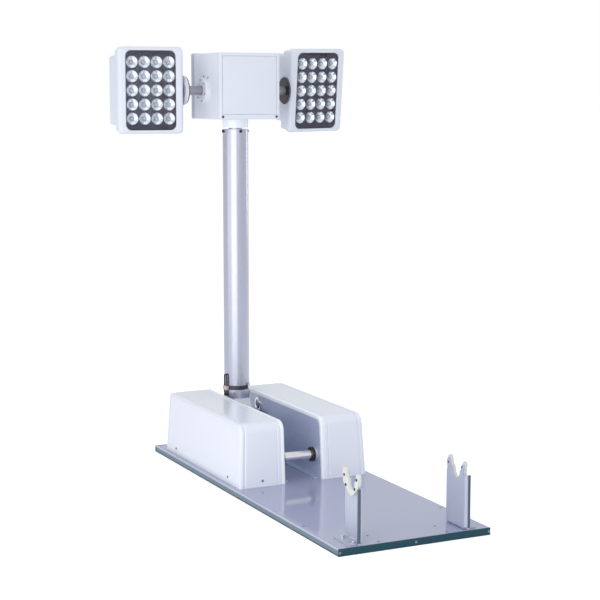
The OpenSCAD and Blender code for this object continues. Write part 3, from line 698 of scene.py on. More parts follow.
@dataclass
class Covers:
    """The two moulded covers beside the mast bay."""

    draft: float = 0.012  # How far the ends lean in from foot to top
    lean: float = 0.010  # How far the outer side leans in
    front_r: float = 0.034  # Radius of the front shoulder
    rear_r: float = 0.016  # Radius of the rear shoulder
    edge_r: float = 0.012  # Radius along the outer edge
    lip: float = 0.012  # Depth of the lip on the bay side
    lip_t: float = 0.004  # Thickness of that lip
    rim_r: float = 0.004  # Radius between the lip and the skin
    inner_seams: tuple[float, float] = (0.013, 0.027)  # Distances of the two seams from the bay
    outer_seam: float = 0.019  # Distance of the third seam from the outer side
    seam_w: tuple[float, float] = (0.0028, 0.0048)  # Half width of an inner seam, and of the outer one
    seam_depth: tuple[float, float] = (0.0014, 0.0024)  # Depth of an inner seam, and of the outer one
    border: float = 0.010  # Width of the flat border round the outer side
    border_step: float = 0.0009  # Depth of the step inside that border
    wall: float = 0.0035  # Thickness of the moulding
    inset_share: float = 0.97  # Most of a shoulder's radius that the inset may take
    screw: Screw = Screw(0.0085, 0.0024)  # The screws along the foot
    screw_rise: float = 0.019  # Height of the screws above the panel
    screw_share: float = 0.15  # Distance of the side screws from the ends, as a share of the length
    arc_steps: int = 15  # Points on a shoulder
    line_steps: int = 8  # Points from a foot to its shoulder
    seam_steps: int = 9  # Points across a seam
    fillet_steps: int = 7  # Points round a rim or edge

    def __post_init__(self) -> None:
        """Reads the right cover's box."""
        self.low, self.high = (np.array(corner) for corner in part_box("right_cover"))

    def build(self) -> None:
        """Builds both covers and their screws."""
        for side in Side:
            self.shell(side).piece(side.named("cover_shell"), "base", "cover", COVER, side.named("cover"))
            self.screws(side).piece(side.named("cover_screws"), "base", "stud", GREY_SCREW)

    def end(self, foot_y: float, way: float, radius: float) -> tuple[np.ndarray, np.ndarray]:
        """One end of the outline in Y and Z, from its foot to the top of its shoulder.

        The line runs from the foot at a tangent to the shoulder circle: with a and b from the foot to the
        circle's centre, its lean is acos(r / hypot(a, b)) - atan2(b, a).

        Args:
            foot_y: Y of the foot.
            way: 1 at the front, -1 at the rear.
            radius: Radius of the shoulder.

        Returns:
            The points and their outward normals.
        """
        foot, top = self.low[2], self.high[2]
        across, up = self.draft + radius, top - radius - foot
        lean = math.acos(radius / math.hypot(across, up)) - math.atan2(up, across)
        angle = np.linspace(math.pi - lean, math.pi / 2, self.arc_steps)
        arc_normal = np.column_stack([np.cos(angle), np.sin(angle)])
        arc = np.array([across, up]) + radius * arc_normal
        line = np.linspace(0, 1, self.line_steps)[:-1, None] * arc[0]
        points = np.concatenate([line, arc]) * (way, 1) + (foot_y, foot)
        normals = np.concatenate([np.repeat(arc_normal[:1], len(line), 0), arc_normal]) * (way, 1)
        return points, normals

    def section(self) -> tuple[np.ndarray, np.ndarray]:
        """The outline in Y and Z from the front foot over the top to the rear foot, with normals."""
        front, rear = self.end(self.low[1], 1, self.front_r), self.end(self.high[1], -1, self.rear_r)
        return tuple(np.concatenate([a, b[::-1]]) for a, b in zip(front, rear))

    def seam(self, place: float, kind: int) -> np.ndarray:
        """Profile points of a shallow round seam: its depth falls off with the square of the distance across.

        Args:
            place: X of its middle.
            kind: 0 for an inner seam, 1 for the outer one.

        Returns:
            Rows of X, inset and share of the way down.
        """
        across = np.linspace(-1, 1, self.seam_steps)
        inset = self.seam_depth[kind] * (1 - across**2)
        return np.column_stack([place + across * self.seam_w[kind], inset, 0 * across])

    def profile(self) -> np.ndarray:
        """The closed profile across a cover: X, inset from the outline, and share of the way to the foot.

        Returns:
            One row per point, from the bay's lip over the skin and down the outer side, then back inside.
        """
        bay, outer = self.low[0], self.high[0]
        sine, cosine = quarter(self.fillet_steps)
        rim = np.column_stack([bay + self.rim_r * (1 - cosine), self.rim_r * (1 - sine), 0 * sine])
        edge = np.column_stack([outer - self.edge_r * (1 - sine), self.edge_r * (1 - cosine), 0 * sine])
        border = self.edge_r + self.border
        panel, step = outer - self.border_step, border + self.border_step
        inside = outer - self.wall
        return stations(
            [bay + self.lip_t, self.lip, 0], [bay, self.lip, 0], rim,
            self.seam(bay + self.inner_seams[0], 0), self.seam(bay + self.inner_seams[1], 0),
            self.seam(outer - self.outer_seam, 1), edge,
            [outer, border, 0], [panel, step, 0], [panel, step, 1],
            [inside, border, 1], [inside, border, 0], [inside - self.edge_r, self.wall, 0],
            [bay + self.lip_t, self.wall, 0])

    def shell(self, side: Side) -> Surface:
        """Carries the profile along the outline: outline - inset * normal, then drawn down to the foot.

        X shrinks towards the bay in step with the height, so the outer side leans too. The inset stays within
        the radius of the nearest shoulder, so the skin doesn't fold there.

        Args:
            side: Which cover.

        Returns:
            The cover's shell.
        """
        foot = self.low[2]
        outline, normal = self.section()
        across, inset, drop = self.profile().T[:, :, None]
        shoulders = np.repeat((self.front_r, self.rear_r), len(outline) // 2)
        inset = np.minimum(inset, self.inset_share * shoulders)
        y = outline[:, 0] - inset * normal[:, 0]
        z = outline[:, 1] - inset * normal[:, 1]
        z = np.maximum((1 - drop) * z + drop * foot, foot)
        z[:, [0, -1]] = foot
        x = side.value * self.leaning(across, z)
        return Surface.grid(np.stack([x, y, z], -1), wrap_rows=True)

    def leaning(self, across: np.ndarray | float, height: np.ndarray | float) -> np.ndarray | float:
        """X of a profile point at a height: bay + (x - bay) (1 - lean / width * share of height)."""
        (bay, _, foot), (width, _, rise) = self.low, self.high - self.low
        return bay + (across - bay) * (1 - self.lean / width * (height - foot) / rise)

    def screws(self, side: Side) -> Surface:
        """Small screws along the foot: two on the outer side and one at each end.

        Args:
            side: Which cover.

        Returns:
            The screw heads.
        """
        (bay, front, foot), (outer, rear, top) = self.low, self.high
        height = foot + self.screw_rise
        lean = self.draft * self.screw_rise / (top - foot)
        inset = self.screw_share * (rear - front)
        wall_x = side.value * (self.leaning(outer, height) - self.border_step)
        middle = side.value * (bay + outer) / 2
        sides = [facing((wall_x, y, height), (side.value, 0, 0)) for y in (front + inset, rear - inset)]
        ends = [facing((middle, y, height), (0, way, 0)) for y, way in ((front + lean, -1), (rear - lean, 1))]
        return self.screw.surface().at(*sides, *ends)


@dataclass
class Base:
    """The panel's edging screws, the cradles' bolts, fork screws and a dark strip of painted shade at each
    bracket flange's outer edge.
    """

    strip_screw: Screw = Screw(0.008, 0.0018)  # The screws in the end strips
    strip_share: float = 0.018  # Their distance from the ends, as a share of half the width
    plate_screw: Screw = Screw(0.0075, 0.0016)  # The small screws in the panel
    plate_screw_x: float = 0.1125  # Their distance from the middle
    # Their distances from a bracket's front and rear end
    plate_screw_in: tuple[float, float] = (0.012, 0.026)
    bolt: HexBolt = HexBolt()  # The bolts in the brackets' feet
    bolt_inset: float = 0.020  # Their distance from the foot's outer edge
    bolt_reach: float = 0.030  # Their distance from the foot's middle along Y
    bolt_spins: tuple[float, float] = (11.0, 37.0)  # Degrees by which the front and the rear one are turned
    foot_t: float = 0.004  # Thickness of a bracket's foot
    fork_screw: Screw = Screw(0.0085, 0.0026, Drive.SOCKET)  # The screws in the forks
    fork_spin: float = 17.0  # Degrees by which they are turned
    # The ends of the upper two screws on the bracket's inner face
    fork_end: Screw = Screw(0.0065, 0.0018, Drive.SOCKET)
    # Y and Z of the fork screws
    fork_screw_places: Pairs = ((-0.613, 0.205), (-0.623, 0.178), (-0.687, 0.205), (-0.676, 0.176))
    shade_size: tuple[float, float] = (0.0085, 0.007)  # Width and depth of the dark strip of painted shade
    trim_r: float = 0.0015  # Radius of its corners
    shade_ends: tuple[float, float] = (0.006, 0.035)  # Distances of its ends from the bracket's foot and top
    shade_reach: float = 0.018  # Distance of its outer side from the bracket's inner face
    shade_set: float = 0.002  # Distance of its middle behind the bracket's front

    def build(self) -> None:
        """Builds the base's fasteners and the cradles' strips of painted shade."""
        self.edge_screws().piece("edge_strip_screws", "base", "stud", GREY_SCREW)
        self.panel_screws().piece("panel_screws", "base", "stud", GREY_SCREW)
        for side in Side:
            self.cradle_bolts(side).piece(side.named("cradle_bolts"), "base", "stud", BRIGHT)
            self.fork_screws(side).piece(side.named("fork_screws"), "base", "stud", DARK_SCREW)
            # Each bracket's flange gets a dark strip of painted shade at its outer edge.
            self.flange_shade(side).piece(side.named("cradle_trim"), "base", "black_fitting", FLANGE_SHADE)

    def edge_screws(self) -> Surface:
        """Three screws in each end strip, at its middle height.

        Returns:
            The screw heads.
        """
        places = []
        for node, way in (("front_edge_strip", -1), ("rear_edge_strip", 1)):
            low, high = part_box(node)
            y, z = low.y if way < 0 else high.y, (low.z + high.z) / 2
            inset = self.strip_share * high.x
            places += [facing((x, y, z), (0, way, 0)) for x in (low.x + inset, 0, high.x - inset)]
        return self.strip_screw.surface().at(*places)

    def panel_screws(self) -> Surface:
        """Two pairs of small screws in the panel between the cradles.

        Returns:
            The screw heads.
        """
        low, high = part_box("left_cradle_bracket")
        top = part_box("base_panel")[1].z
        rows = low.y + self.plate_screw_in[0], high.y - self.plate_screw_in[1]
        spots = [(side.value * self.plate_screw_x, y, top) for side in Side for y in rows]
        return self.plate_screw.surface().at(*[facing(spot, (0, 0, 1)) for spot in spots])

    def cradle_bolts(self, side: Side) -> Surface:
        """Two bolts with washers in a cradle bracket's foot.

        Args:
            side: Which cradle.

        Returns:
            The bolt heads.
        """
        low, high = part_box(side.named("cradle_bracket"))
        outer = high.x if side is Side.RIGHT else -low.x
        x, middle = side.value * (outer - self.bolt_inset), (low.y + high.y) / 2
        places = [facing((x, middle + way * self.bolt_reach, low.z + self.foot_t), (0, 0, 1), spin)
                  for way, spin in zip((-1, 1), self.bolt_spins)]
        return self.bolt.surface().at(*places)

    def fork_screws(self, side: Side) -> Surface:
        """Four screws in a fork's outer face, and the ends of the upper two on the bracket's inner face.

        Args:
            side: Which cradle.

        Returns:
            The screw heads and ends.
        """
        fork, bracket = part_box(side.named("cradle_fork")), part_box(side.named("cradle_bracket"))
        outer = fork[1].x if side is Side.RIGHT else fork[0].x
        inner = bracket[0].x if side is Side.RIGHT else bracket[1].x
        spots = self.fork_screw_places
        heads = [facing((outer, y, z), (side.value, 0, 0), self.fork_spin) for y, z in spots]
        ends = [facing((inner, y, z), (-side.value, 0, 0)) for y, z in spots[::2]]
        return Surface.joined([self.fork_screw.surface().at(*heads), self.fork_end.surface().at(*ends)])

    def flange_shade(self, side: Side) -> Surface:
        """A dark strip of painted shade on the outer edge of a bracket's front flange: a round-cornered
        rectangle carried up.

        Args:
            side: Which cradle.

        Returns:
            The closed strip of painted shade.
        """
        low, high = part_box(side.named("cradle_bracket"))
        inner = low.x if side is Side.RIGHT else high.x
        foot, top = low.z + self.shade_ends[0], high.z - self.shade_ends[1]
        outline = Outline(*self.shade_size, self.trim_r)
        loft = rect_loft(stations(pole(foot), outline.inset(0, foot), outline.inset(0, top), pole(top)))
        x = inner + side.value * (self.shade_reach - outline.width / 2)
        return loft.at(shifted(x, low.y + self.shade_set, 0) @ turned("X", 90))


@dataclass
class CrossBar:
    """The polished bar across the mast bay, with a bright bush and a black collar at each end."""

    bar_r: float = 0.0155  # Radius of the bar
    bush_r: float = 0.0205  # Radius of a bush
    bush_l: float = 0.010  # Length of a bush, from the side frame inwards
    collar_r: float = 0.0245  # Radius of a collar
    collar_l: float = 0.010  # Length of a collar, inwards from its bush
    soft: float = 0.0012  # Bevel of their edges
    segments: int = 48  # Steps round the bar

    def __post_init__(self) -> None:
        """Reads the bar's axis and the reach of its ends."""
        low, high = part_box("cross_bar_collars")
        self.middle, self.reach = (low + high) / 2, high.x

    def build(self) -> None:
        """Builds the bar and its ends."""
        self.rod().piece("cross_bar_rod", "base", "bar", STAINLESS, "cross_bar")
        collars = self.ends(self.collar_r, self.bush_l, self.bush_l + self.collar_l)
        collars.piece("bar_collar_rings", "base", "black_fitting", BLACK, "cross_bar_collars")
        self.ends(self.bush_r, 0.0, self.bush_l).piece("bar_bushes", "base", "bar", BUSH)

    def along(self, profile: Pairs, way: int) -> Surface:
        """A profile of radius and distance from the middle, revolved about the bar's axis to one side."""
        return revolved(profile, self.segments).at(facing((0, *self.middle.yz), (way, 0, 0)))

    def rod(self) -> Surface:
        """The bar: a plain round from side frame to side frame, closed at both ends."""
        r, end = self.bar_r, self.reach
        return self.along([(0.0, -end), (r, -end), (r, end), (0.0, end)], 1)

    def ends(self, rim: float, start: float, stop: float) -> Surface:
        """A bevelled round about the bar at both ends, between two distances from the side frames."""
        profile = bevelled(0.0, rim, self.reach - stop, self.reach - start, self.soft)
        return Surface.joined([self.along(profile, side.value) for side in Side])


@dataclass
class Mast:
    """The details on the mast: screws in its mouth and foot, and the strap's tightener."""

    # The screws that hold the guide bush in the tube's mouth
    mouth_screw: Screw = Screw(0.0105, 0.0065, Drive.SOCKET)
    mouth_turns: tuple[float, ...] = (0, 90, 180, 270)  # Their azimuths, in degrees from +X towards +Y
    mouth_drop: float = 0.007  # Their distance below the tube's top
    # The small screws in the foot's ring, below the strap
    foot_screw: Screw = Screw(0.008, 0.002, Drive.SOCKET)
    foot_turns: tuple[float, ...] = (30, 150, 235, 330)  # Their azimuths
    foot_drop: float = 0.012  # Their distance below the tube
    # Height as a share of the strap's, depth, corner radius, half length and bevel of the worm housing
    worm: tuple[float, float, float, float, float] = (0.8, 0.008, 0.003, 0.009, 0.001)
    worm_turn: float = 305  # Its azimuth
    worm_lift: float = 0.003  # Distance of its middle from the strap
    worm_head: HexBolt = HexBolt(0.007, 0.005, 0.0005, 0.0075, 0.0012)  # Its screw's head

    def build(self) -> None:
        """Builds the mast's details."""
        low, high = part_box("mast_tube")
        radius = (high.x - low.x) / 2
        mouth = self.around((low + high) / 2, radius, self.mouth_turns, high.z - self.mouth_drop)
        foot = self.around((low + high) / 2, radius, self.foot_turns, low.z - self.foot_drop)
        mouth_screws, foot_screws = self.mouth_screw.surface().at(*mouth), self.foot_screw.surface().at(*foot)
        mouth_screws.piece("mast_mouth_screws", "mast", "black_fitting", DARK_SCREW)
        foot_screws.piece("mast_foot_screws", "mast", "stud", GREY_SCREW)
        self.tightener().piece("strap_tightener", "mast", "band", BRIGHT)

    def around(self, axis: Vector, radius: float, azimuths: Sequence[float],
               height: float) -> list[np.ndarray]:
        """Places at azimuths round the tube, in degrees from +X towards +Y, facing outwards."""
        outs = [np.array([math.cos(a), math.sin(a), 0.0]) for a in np.radians(azimuths)]
        return [facing(np.array([axis.x, axis.y, height]) + radius * out, out) for out in outs]

    def tightener(self) -> Surface:
        """The strap's worm housing: a small bevelled block, lofted, with its screw's head at one end.

        Returns:
            The housing and the head.
        """
        low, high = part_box("foot_clamp_band")
        share, deep, corner_r, half, bevel = self.worm
        outline = Outline((high.z - low.z) * share, deep, corner_r)
        block = rect_loft(stations(
            pole(-half), outline.inset(bevel, -half), outline.inset(0, bevel - half),
            outline.inset(0, half - bevel), outline.inset(bevel, half), pole(half)))
        head = self.worm_head.surface().at(facing((0, half, 0), (0, 1, 0)))
        tube_low, tube_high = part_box("mast_tube")
        radius, height = (high.x - low.x) / 2 + self.worm_lift, (low.z + high.z) / 2
        spot = self.around((tube_low + tube_high) / 2, radius, (self.worm_turn,), height)
        return Surface.joined([block, head]).at(*spot)


@dataclass
class Head:
    """The head box as a rounded shell, with its front panel, rear cap, tilt flanges and screws."""

    corner_r: float = 0.005  # Radius of the box's long corners
    edge_r: float = 0.004  # Radius of the front and rear edges
    seam_depth: float = 0.003  # Depth of the shadow line round the front panel
    seam_w: float = 0.0012  # Width of that line
    bevel: float = 0.0006  # Bevel at the seams
    panel_proud: float = 0.0008  # How far the front panel stands out
    face_border: float = 0.012  # Border of the box left showing beside and above the front panel
    face_lip: float = 0.018  # Border left showing below it
    face_r: float = 0.004  # Radius of the front panel's corners
    face_soft: float = 0.0012  # Radius of its edge
    cap_t: float = 0.0015  # How far the rear cap stands out
    lip_screw: Screw = Screw(0.0085, 0.0026, Drive.SOCKET)  # The screws below the front panel
    flange_soft: float = 0.003  # Radius of a tilt flange's outer edge
    flange_bore: float = 0.0156  # Radius of its bore
    flange_chamfer: float = 0.001  # Chamfer at that bore
    flange_screw: Screw = Screw(0.0068, 0.002, Drive.SOCKET)  # The screws on and above the flanges
    ring_r: float = 0.0365  # Radius of the circle of six on a flange
    ring_turns: Sequence[float] = range(20, 380, 60)  # Their angles about the tilt axis
    upper_r: float = 0.050  # Distance of the two above it from the tilt axis
    upper_turns: Sequence[float] = (75, 118)  # Their angles
    edge_steps: int = 6  # Points round the edges of box and flanges
    plate_steps: int = 5  # Points round the edges of front panel and rear cap
    flange_segments: int = 64  # Steps round a flange

    def __post_init__(self) -> None:
        """Reads the box, and works out its outline and the front panel's."""
        low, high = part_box("head_box")
        self.size, self.middle = high - low, (low + high) / 2
        self.front, self.rear = low.y, high.y
        self.outline = Outline(self.size.x, self.size.z, self.corner_r, self.middle.z)
        width, height = self.size.x - 2 * self.face_border, self.size.z - self.face_border - self.face_lip
        rise = (self.face_lip - self.face_border) / 2
        self.opening = Outline(width, height, self.face_r, self.middle.z + rise)

    def build(self) -> None:
        """Builds the head's pieces."""
        self.shell().piece("head_shell", "head", "white_paint", POWDER, "head_box")
        self.face().piece("head_face", "head", "white_paint", POWDER, "head_front_panel")
        # The rear cap's greyer white is painted shade.
        self.rear_cap().piece("head_rear_cap", "head", "white_paint", REAR_CAP_SHADE, "head_rear_cover")
        self.lip_screws().piece("head_lip_screws", "head", "stud", DARK_SCREW)
        self.flanges().piece("tilt_flange_shells", "head", "white_paint", POWDER, "tilt_flanges")
        self.flange_screws().piece("tilt_flange_screws", "head", "stud", GREY_SCREW)

    def shell(self) -> Surface:
        """The box from its recessed front over the border, round the front edge, along the sides to the back.

        Returns:
            The closed shell.
        """
        front, floor = self.front, self.front + self.seam_depth
        seam = [self.opening.inset(-self.seam_w, floor), self.opening.inset(-self.seam_w, front + self.bevel),
                self.opening.inset(-self.seam_w - self.bevel, front)]
        return rect_loft(stations(
            pole(floor, self.middle.z), seam, self.outline.edge(self.edge_r, front, 1, self.edge_steps)[::-1],
            self.outline.edge(self.edge_r, self.rear, -1, self.edge_steps), pole(self.rear, self.middle.z)))

    def face(self) -> Surface:
        """The front panel: a plate with a small round edge, standing a little proud of the border.

        Returns:
            The plate.
        """
        plate = self.opening
        near, far = self.front - self.panel_proud, self.front + self.seam_depth
        rim = plate.edge(self.face_soft, near, 1, self.plate_steps)[::-1]
        return rect_loft(stations(
            pole(near, plate.middle), rim, plate.inset(0, far), pole(far, plate.middle)))

    def rear_cap(self) -> Surface:
        """The cap over the rear of the box: its outline grown by the cap's thickness, closed at the back.

        Returns:
            The cap.
        """
        low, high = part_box("head_rear_cover")
        cap = Outline(self.size.x + 2 * self.cap_t, self.size.z + self.cap_t, self.corner_r + self.cap_t,
                      self.middle.z + self.cap_t / 2)
        return rect_loft(stations(
            self.outline.inset(0, low.y), cap.inset(self.bevel, low.y), cap.inset(0, low.y + self.bevel),
            cap.edge(self.edge_r, high.y, -1, self.plate_steps), pole(high.y, self.middle.z)))

    def lip_screws(self) -> Surface:
        """A screw at each end of the lip below the front panel.

        Returns:
            The screw heads.
        """
        height = self.middle.z - self.size.z / 2 + self.face_lip / 2
        reach = self.size.x / 2 - self.face_border
        places = [facing((side.value * reach, self.front, height), (0, -1, 0)) for side in Side]
        return self.lip_screw.surface().at(*places)

    def flanges(self) -> Surface:
        """Both tilt flanges: a ring with a round outer edge and a small chamfer at its bore, revolved.

        Returns:
            The two rings.
        """
        low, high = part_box("tilt_flanges")
        depth, rim, middle = high.x - self.size.x / 2, (high.z - low.z) / 2, (low + high) / 2
        bore, chamfer, soft = self.flange_bore, self.flange_chamfer, self.flange_soft
        edge = [(rim - soft * (1 - c), depth - soft * (1 - s)) for s, c in zip(*quarter(self.edge_steps))]
        ring = revolved([(bore, 0.0), (rim, 0.0), *edge, (bore + chamfer, depth), (bore, depth - chamfer),
                         (bore, 0.0)], self.flange_segments)
        wall = self.size.x / 2
        return ring.at(*[facing((side.value * wall, *middle.yz), (side.value, 0, 0)) for side in Side])

    def flange_screws(self) -> Surface:
        """Six screws on each tilt flange, and two more on the box above it.

        Returns:
            The screw heads on both sides.
        """
        low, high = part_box("tilt_flanges")
        middle = (low + high) / 2
        spots = [(high.x, self.ring_r, turn) for turn in self.ring_turns]
        spots += [(self.size.x / 2, self.upper_r, turn) for turn in self.upper_turns]
        places = [facing((side.value * out, middle.y + r * math.cos(math.radians(turn)),
                          middle.z + r * math.sin(math.radians(turn))), (side.value, 0, 0))
                  for side in Side for out, r, turn in spots]
        return self.flange_screw.surface().at(*places)


@dataclass
class Lamp:
    """One floodlight: bezel, body, rear housing, reflector cups, LED lenses and its tilt disc's rings."""

    side: Side  # Which lamp
    tilt: float = 0.0  # Degrees by which it looks down at rest
    toe_out: float = 7.5  # Degrees by which it looks outwards
    width: float = 0.226  # Width of the bezel
    height: float = 0.293  # Height of the bezel
    depth: float = 0.024  # Depth of the bezel
    lead: float = 0.010  # Distance of its face in front of the tilt axis
    corner_r: float = 0.015  # Radius of the bezel's corners, seen from the front
    edge_r: float = 0.011  # Radius of the bezel's front edge
    rear_bevel: float = 0.0015  # Bevel of its rear edge
    # Width, height and corner radius of the window
    window: tuple[float, float, float] = (0.174, 0.268, 0.020)
    lip_r: float = 0.0025  # Radius of the window's edge
    body_depth: float = 0.036  # Depth of the body behind the bezel
    body_inset: tuple[float, float] = (0.002, 0.008)  # Inset of that body at the sides, and at top and bottom
    body_r: float = 0.008  # Radius of the body's long corners
    body_soft: float = 0.004  # Radius of its rear edge
    housing_depth: float = 0.107  # Depth of the rear housing
    # Inset of the housing on the outer side, beside the tilt joint, and at top and bottom
    housing_inset: tuple[float, float, float] = (0.003, 0.036, 0.027)
    housing_r: float = 0.012  # Radius of the housing's edges
    mask_sink: float = 0.006  # Depth of the mask behind the face
    mask_t: float = 0.002  # Thickness of the mask
    pitch: tuple[float, float] = (0.0425, 0.0475)  # Distances between cups across and up
    counts: tuple[int, int] = (4, 5)  # Cups across and up
    cup_d: float = 0.040  # Diameter of a cup's mouth
    cup_depth: float = 0.009  # Depth of a cup
    cup_rim: float = 0.001  # Height of a cup's rim
    cup_t: float = 0.002  # Thickness of a cup's floor
    cup_back_share: float = 0.45  # Radius of its flat back, as a share of the mouth's
    cup_sharp: float = 0.1  # Angle above which its facets stay crisp
    lens_d: float = 0.014  # Diameter of an LED's lens
    lens_sink: float = 0.004  # Depth of the lens's rim behind the mask
    # Radius of the rim's inner edge, of the groove's foot and of the dome, the dome's height and the groove's
    # depth, as shares of the lens's radius
    lens_shares: tuple[float, float, float, float, float] = (0.86, 0.66, 0.45, 0.35, 0.25)
    # Radius, inner and outer X of the pale flange on the tilt disc
    disc: tuple[float, float, float] = (0.0495, 0.1922, 0.1943)
    # Radius, inner and outer X of the plate on that disc's head side, whose near-black colour is a painted dark
    # reflection of the polished disc
    disc_face: tuple[float, float, float] = (0.0472, 0.1872, 0.1882)
    disc_bore: float = 0.0150  # Radius of their bores
    disc_bevel: float = 0.0003  # Bevel of their edges
    edge_steps: int = 8  # Points round the edges of bezel, window and housing
    corner_steps: int = 9  # Points round a corner of the bezel
    body_steps: int = 6  # Points round the body's rear edge
    ring_segments: int = 72  # Steps round the rings on the tilt disc
    cup_steps: tuple[int, int] = (7, 14)  # Points along a cup's profile, and steps round it
    lens_steps: tuple[int, int] = (7, 18)  # Points along a lens's dome, and steps round it

    def __post_init__(self) -> None:
        """Reads the tilt joint's place, and works out where the body and the housing start."""
        tilt_joint = self.side.named("lamp_tilt")
        self.pivot: Point = next(j["pos_m"] for j in frame["joints"] if j["name"] == tilt_joint)
        self.body_y = self.depth - self.lead
        self.housing_y = self.body_y + self.body_depth

    def build(self) -> None:
        """Builds the lamp's pieces."""
        named, place, cups = self.side.named, self.place(), self.cup_places()
        body = named("lamp")
        for shape, name, node in ((self.bezel(), "bezel_shell", "lamp_bezel"),
                                  (self.tray(), "body_shell", "lamp_body"),
                                  (self.housing(), "housing_shell", "lamp_housing")):
            shape.at(place).piece(named(name), body, "white_paint", POWDER, named(node))
        self.tilt_ring(*self.disc).piece(named("disc_flange"), body, "white_paint", POWDER)
        # The plate on the disc's head side carries the painted dark reflection.
        self.tilt_ring(*self.disc_face).piece(named("disc_face"), body, "tilt_metal", DISC_REFLECTION)
        self.cup().at(*cups).piece(named("reflector_cups"), body, "reflector", MIRROR,
                                   named("lamp_reflectors"), self.cup_sharp)
        self.lens().at(*cups).piece(named("led_lenses"), body, "glass", LENS)

    def place(self) -> np.ndarray:
        """The lamp's own frame: origin on the tilt axis, front towards -Y, turned out and tilted.

        Returns:
            A 4 by 4 matrix.
        """
        x, y, z = self.pivot
        out = turned("Z", self.side.value * self.toe_out)
        return shifted(0, y, z) @ turned("X", self.tilt) @ shifted(x, 0, 0) @ out

    def bezel(self) -> Surface:
        """The bezel as a ring of stations: back, outer wall, round front edge, face, round lip, inner wall.

        Returns:
            The closed ring.
        """
        outer, window = Outline(self.width, self.height, self.corner_r), Outline(*self.window)
        front, back, soft = -self.lead, self.body_y, self.rear_bevel
        edge = outer.edge(self.edge_r, front, 1, self.edge_steps)
        lip = window.edge(self.lip_r, front, 1, self.edge_steps, flare=True)[::-1]
        rear = [window.inset(0, back), outer.inset(soft, back), outer.inset(0, back - soft)]
        return rect_loft(stations(rear, edge, lip), self.corner_steps, wrap=True)

    def tray(self) -> Surface:
        """The body behind the bezel: a block with round corners and a small round rear edge.

        Returns:
            The closed body.
        """
        wide, tall = self.width - 2 * self.body_inset[0], self.height - 2 * self.body_inset[1]
        outline = Outline(wide, tall, self.body_r)
        return outline.block(self.body_y, self.housing_y, self.body_soft, self.body_steps)

    def housing(self) -> Surface:
        """The rear housing: a block with round corners and a round rear edge, off centre.

        Returns:
            The closed housing.
        """
        outside, beside, above = self.housing_inset
        outline = Outline(self.width - outside - beside, self.height - 2 * above, self.housing_r)
        end = self.housing_y + self.housing_depth
        block = outline.block(self.housing_y, end, self.housing_r, self.edge_steps)
        return block.at(shifted(self.side.value * (beside - outside) / 2, 0, 0))

    def tilt_ring(self, rim: float, near: float, far: float) -> Surface:
        """A bevelled ring on the tilt disc from one X to another, revolved about the tilt axis."""
        ring = revolved(bevelled(self.disc_bore, rim, near, far, self.disc_bevel), self.ring_segments)
        return ring.at(facing((0, *self.pivot[1:]), (self.side.value, 0, 0)))

    def cup_places(self) -> list[np.ndarray]:
        """A place on the mask's back for each cup, with +Z towards the front.

        Returns:
            One matrix per cup.
        """
        depth = self.mask_sink + self.mask_t - self.lead
        columns, rows = self.counts
        spots = [((c - (columns - 1) / 2) * self.pitch[0], (r - (rows - 1) / 2) * self.pitch[1])
                 for c in range(columns) for r in range(rows)]
        return [self.place() @ facing((x, depth, z), (0, -1, 0)) for x, z in spots]

    def cup(self) -> Surface:
        """A faceted cup behind the origin: depth falls off with the square of the radius, the back is a cone.

        Returns:
            The closed cup.
        """
        rim, floor = self.cup_d / 2, -self.cup_depth - self.cup_t
        inside = [(rim * s, -self.cup_depth * (1 - s**2)) for s in np.linspace(0.0, 1.0, self.cup_steps[0])]
        back = [(rim, -self.cup_rim), (rim * self.cup_back_share, floor), (0.0, floor)]
        return revolved(inside + back, self.cup_steps[1])

    def lens(self) -> Surface:
        """The LED's lens: a cone from the cup's floor up to a rim, a groove inside it and a dome, revolved.

        The dome's points are (r cos t, z + h sin t) for t over a quarter turn, with r its radius and h its
        height.

        Returns:
            The closed lens.
        """
        foot, top, rim = -self.cup_depth, -self.lens_sink, self.lens_d / 2
        inner, well, dome_r, dome_h, groove = (share * rim for share in self.lens_shares)
        sine, cosine = quarter(self.lens_steps[0])
        cone = [(0.0, foot), (dome_r, foot), (rim, top - groove), (rim, top), (inner, top),
                (well, top - groove)]
        dome = np.column_stack([dome_r * cosine, top - groove + dome_h * sine])
        return revolved(np.concatenate([cone, dome]), self.lens_steps[1])


@dataclass(frozen=True)
class Softbox:
    """One large soft light."""

    name: str  # Name of the light
    place: Point  # Where it stands
    aim: Point  # The point it looks at
    size: tuple[float, float]  # Width and height
    power: float  # Watts

    def build(self) -> None:
        """Adds the light."""
        data = bpy.data.lights.new(self.name, "AREA")
        data.shape = "RECTANGLE"
        data.size, data.size_y = self.size
        data.energy = self.power
        light = bpy.data.objects.new(self.name, data)
        x, y, z = np.subtract(self.place, self.aim)
        light.location = self.place
        light.rotation_euler = (math.atan2(math.hypot(x, y), z), 0.0, math.atan2(x, -y))
        bpy.context.scene.collection.objects.link(light)


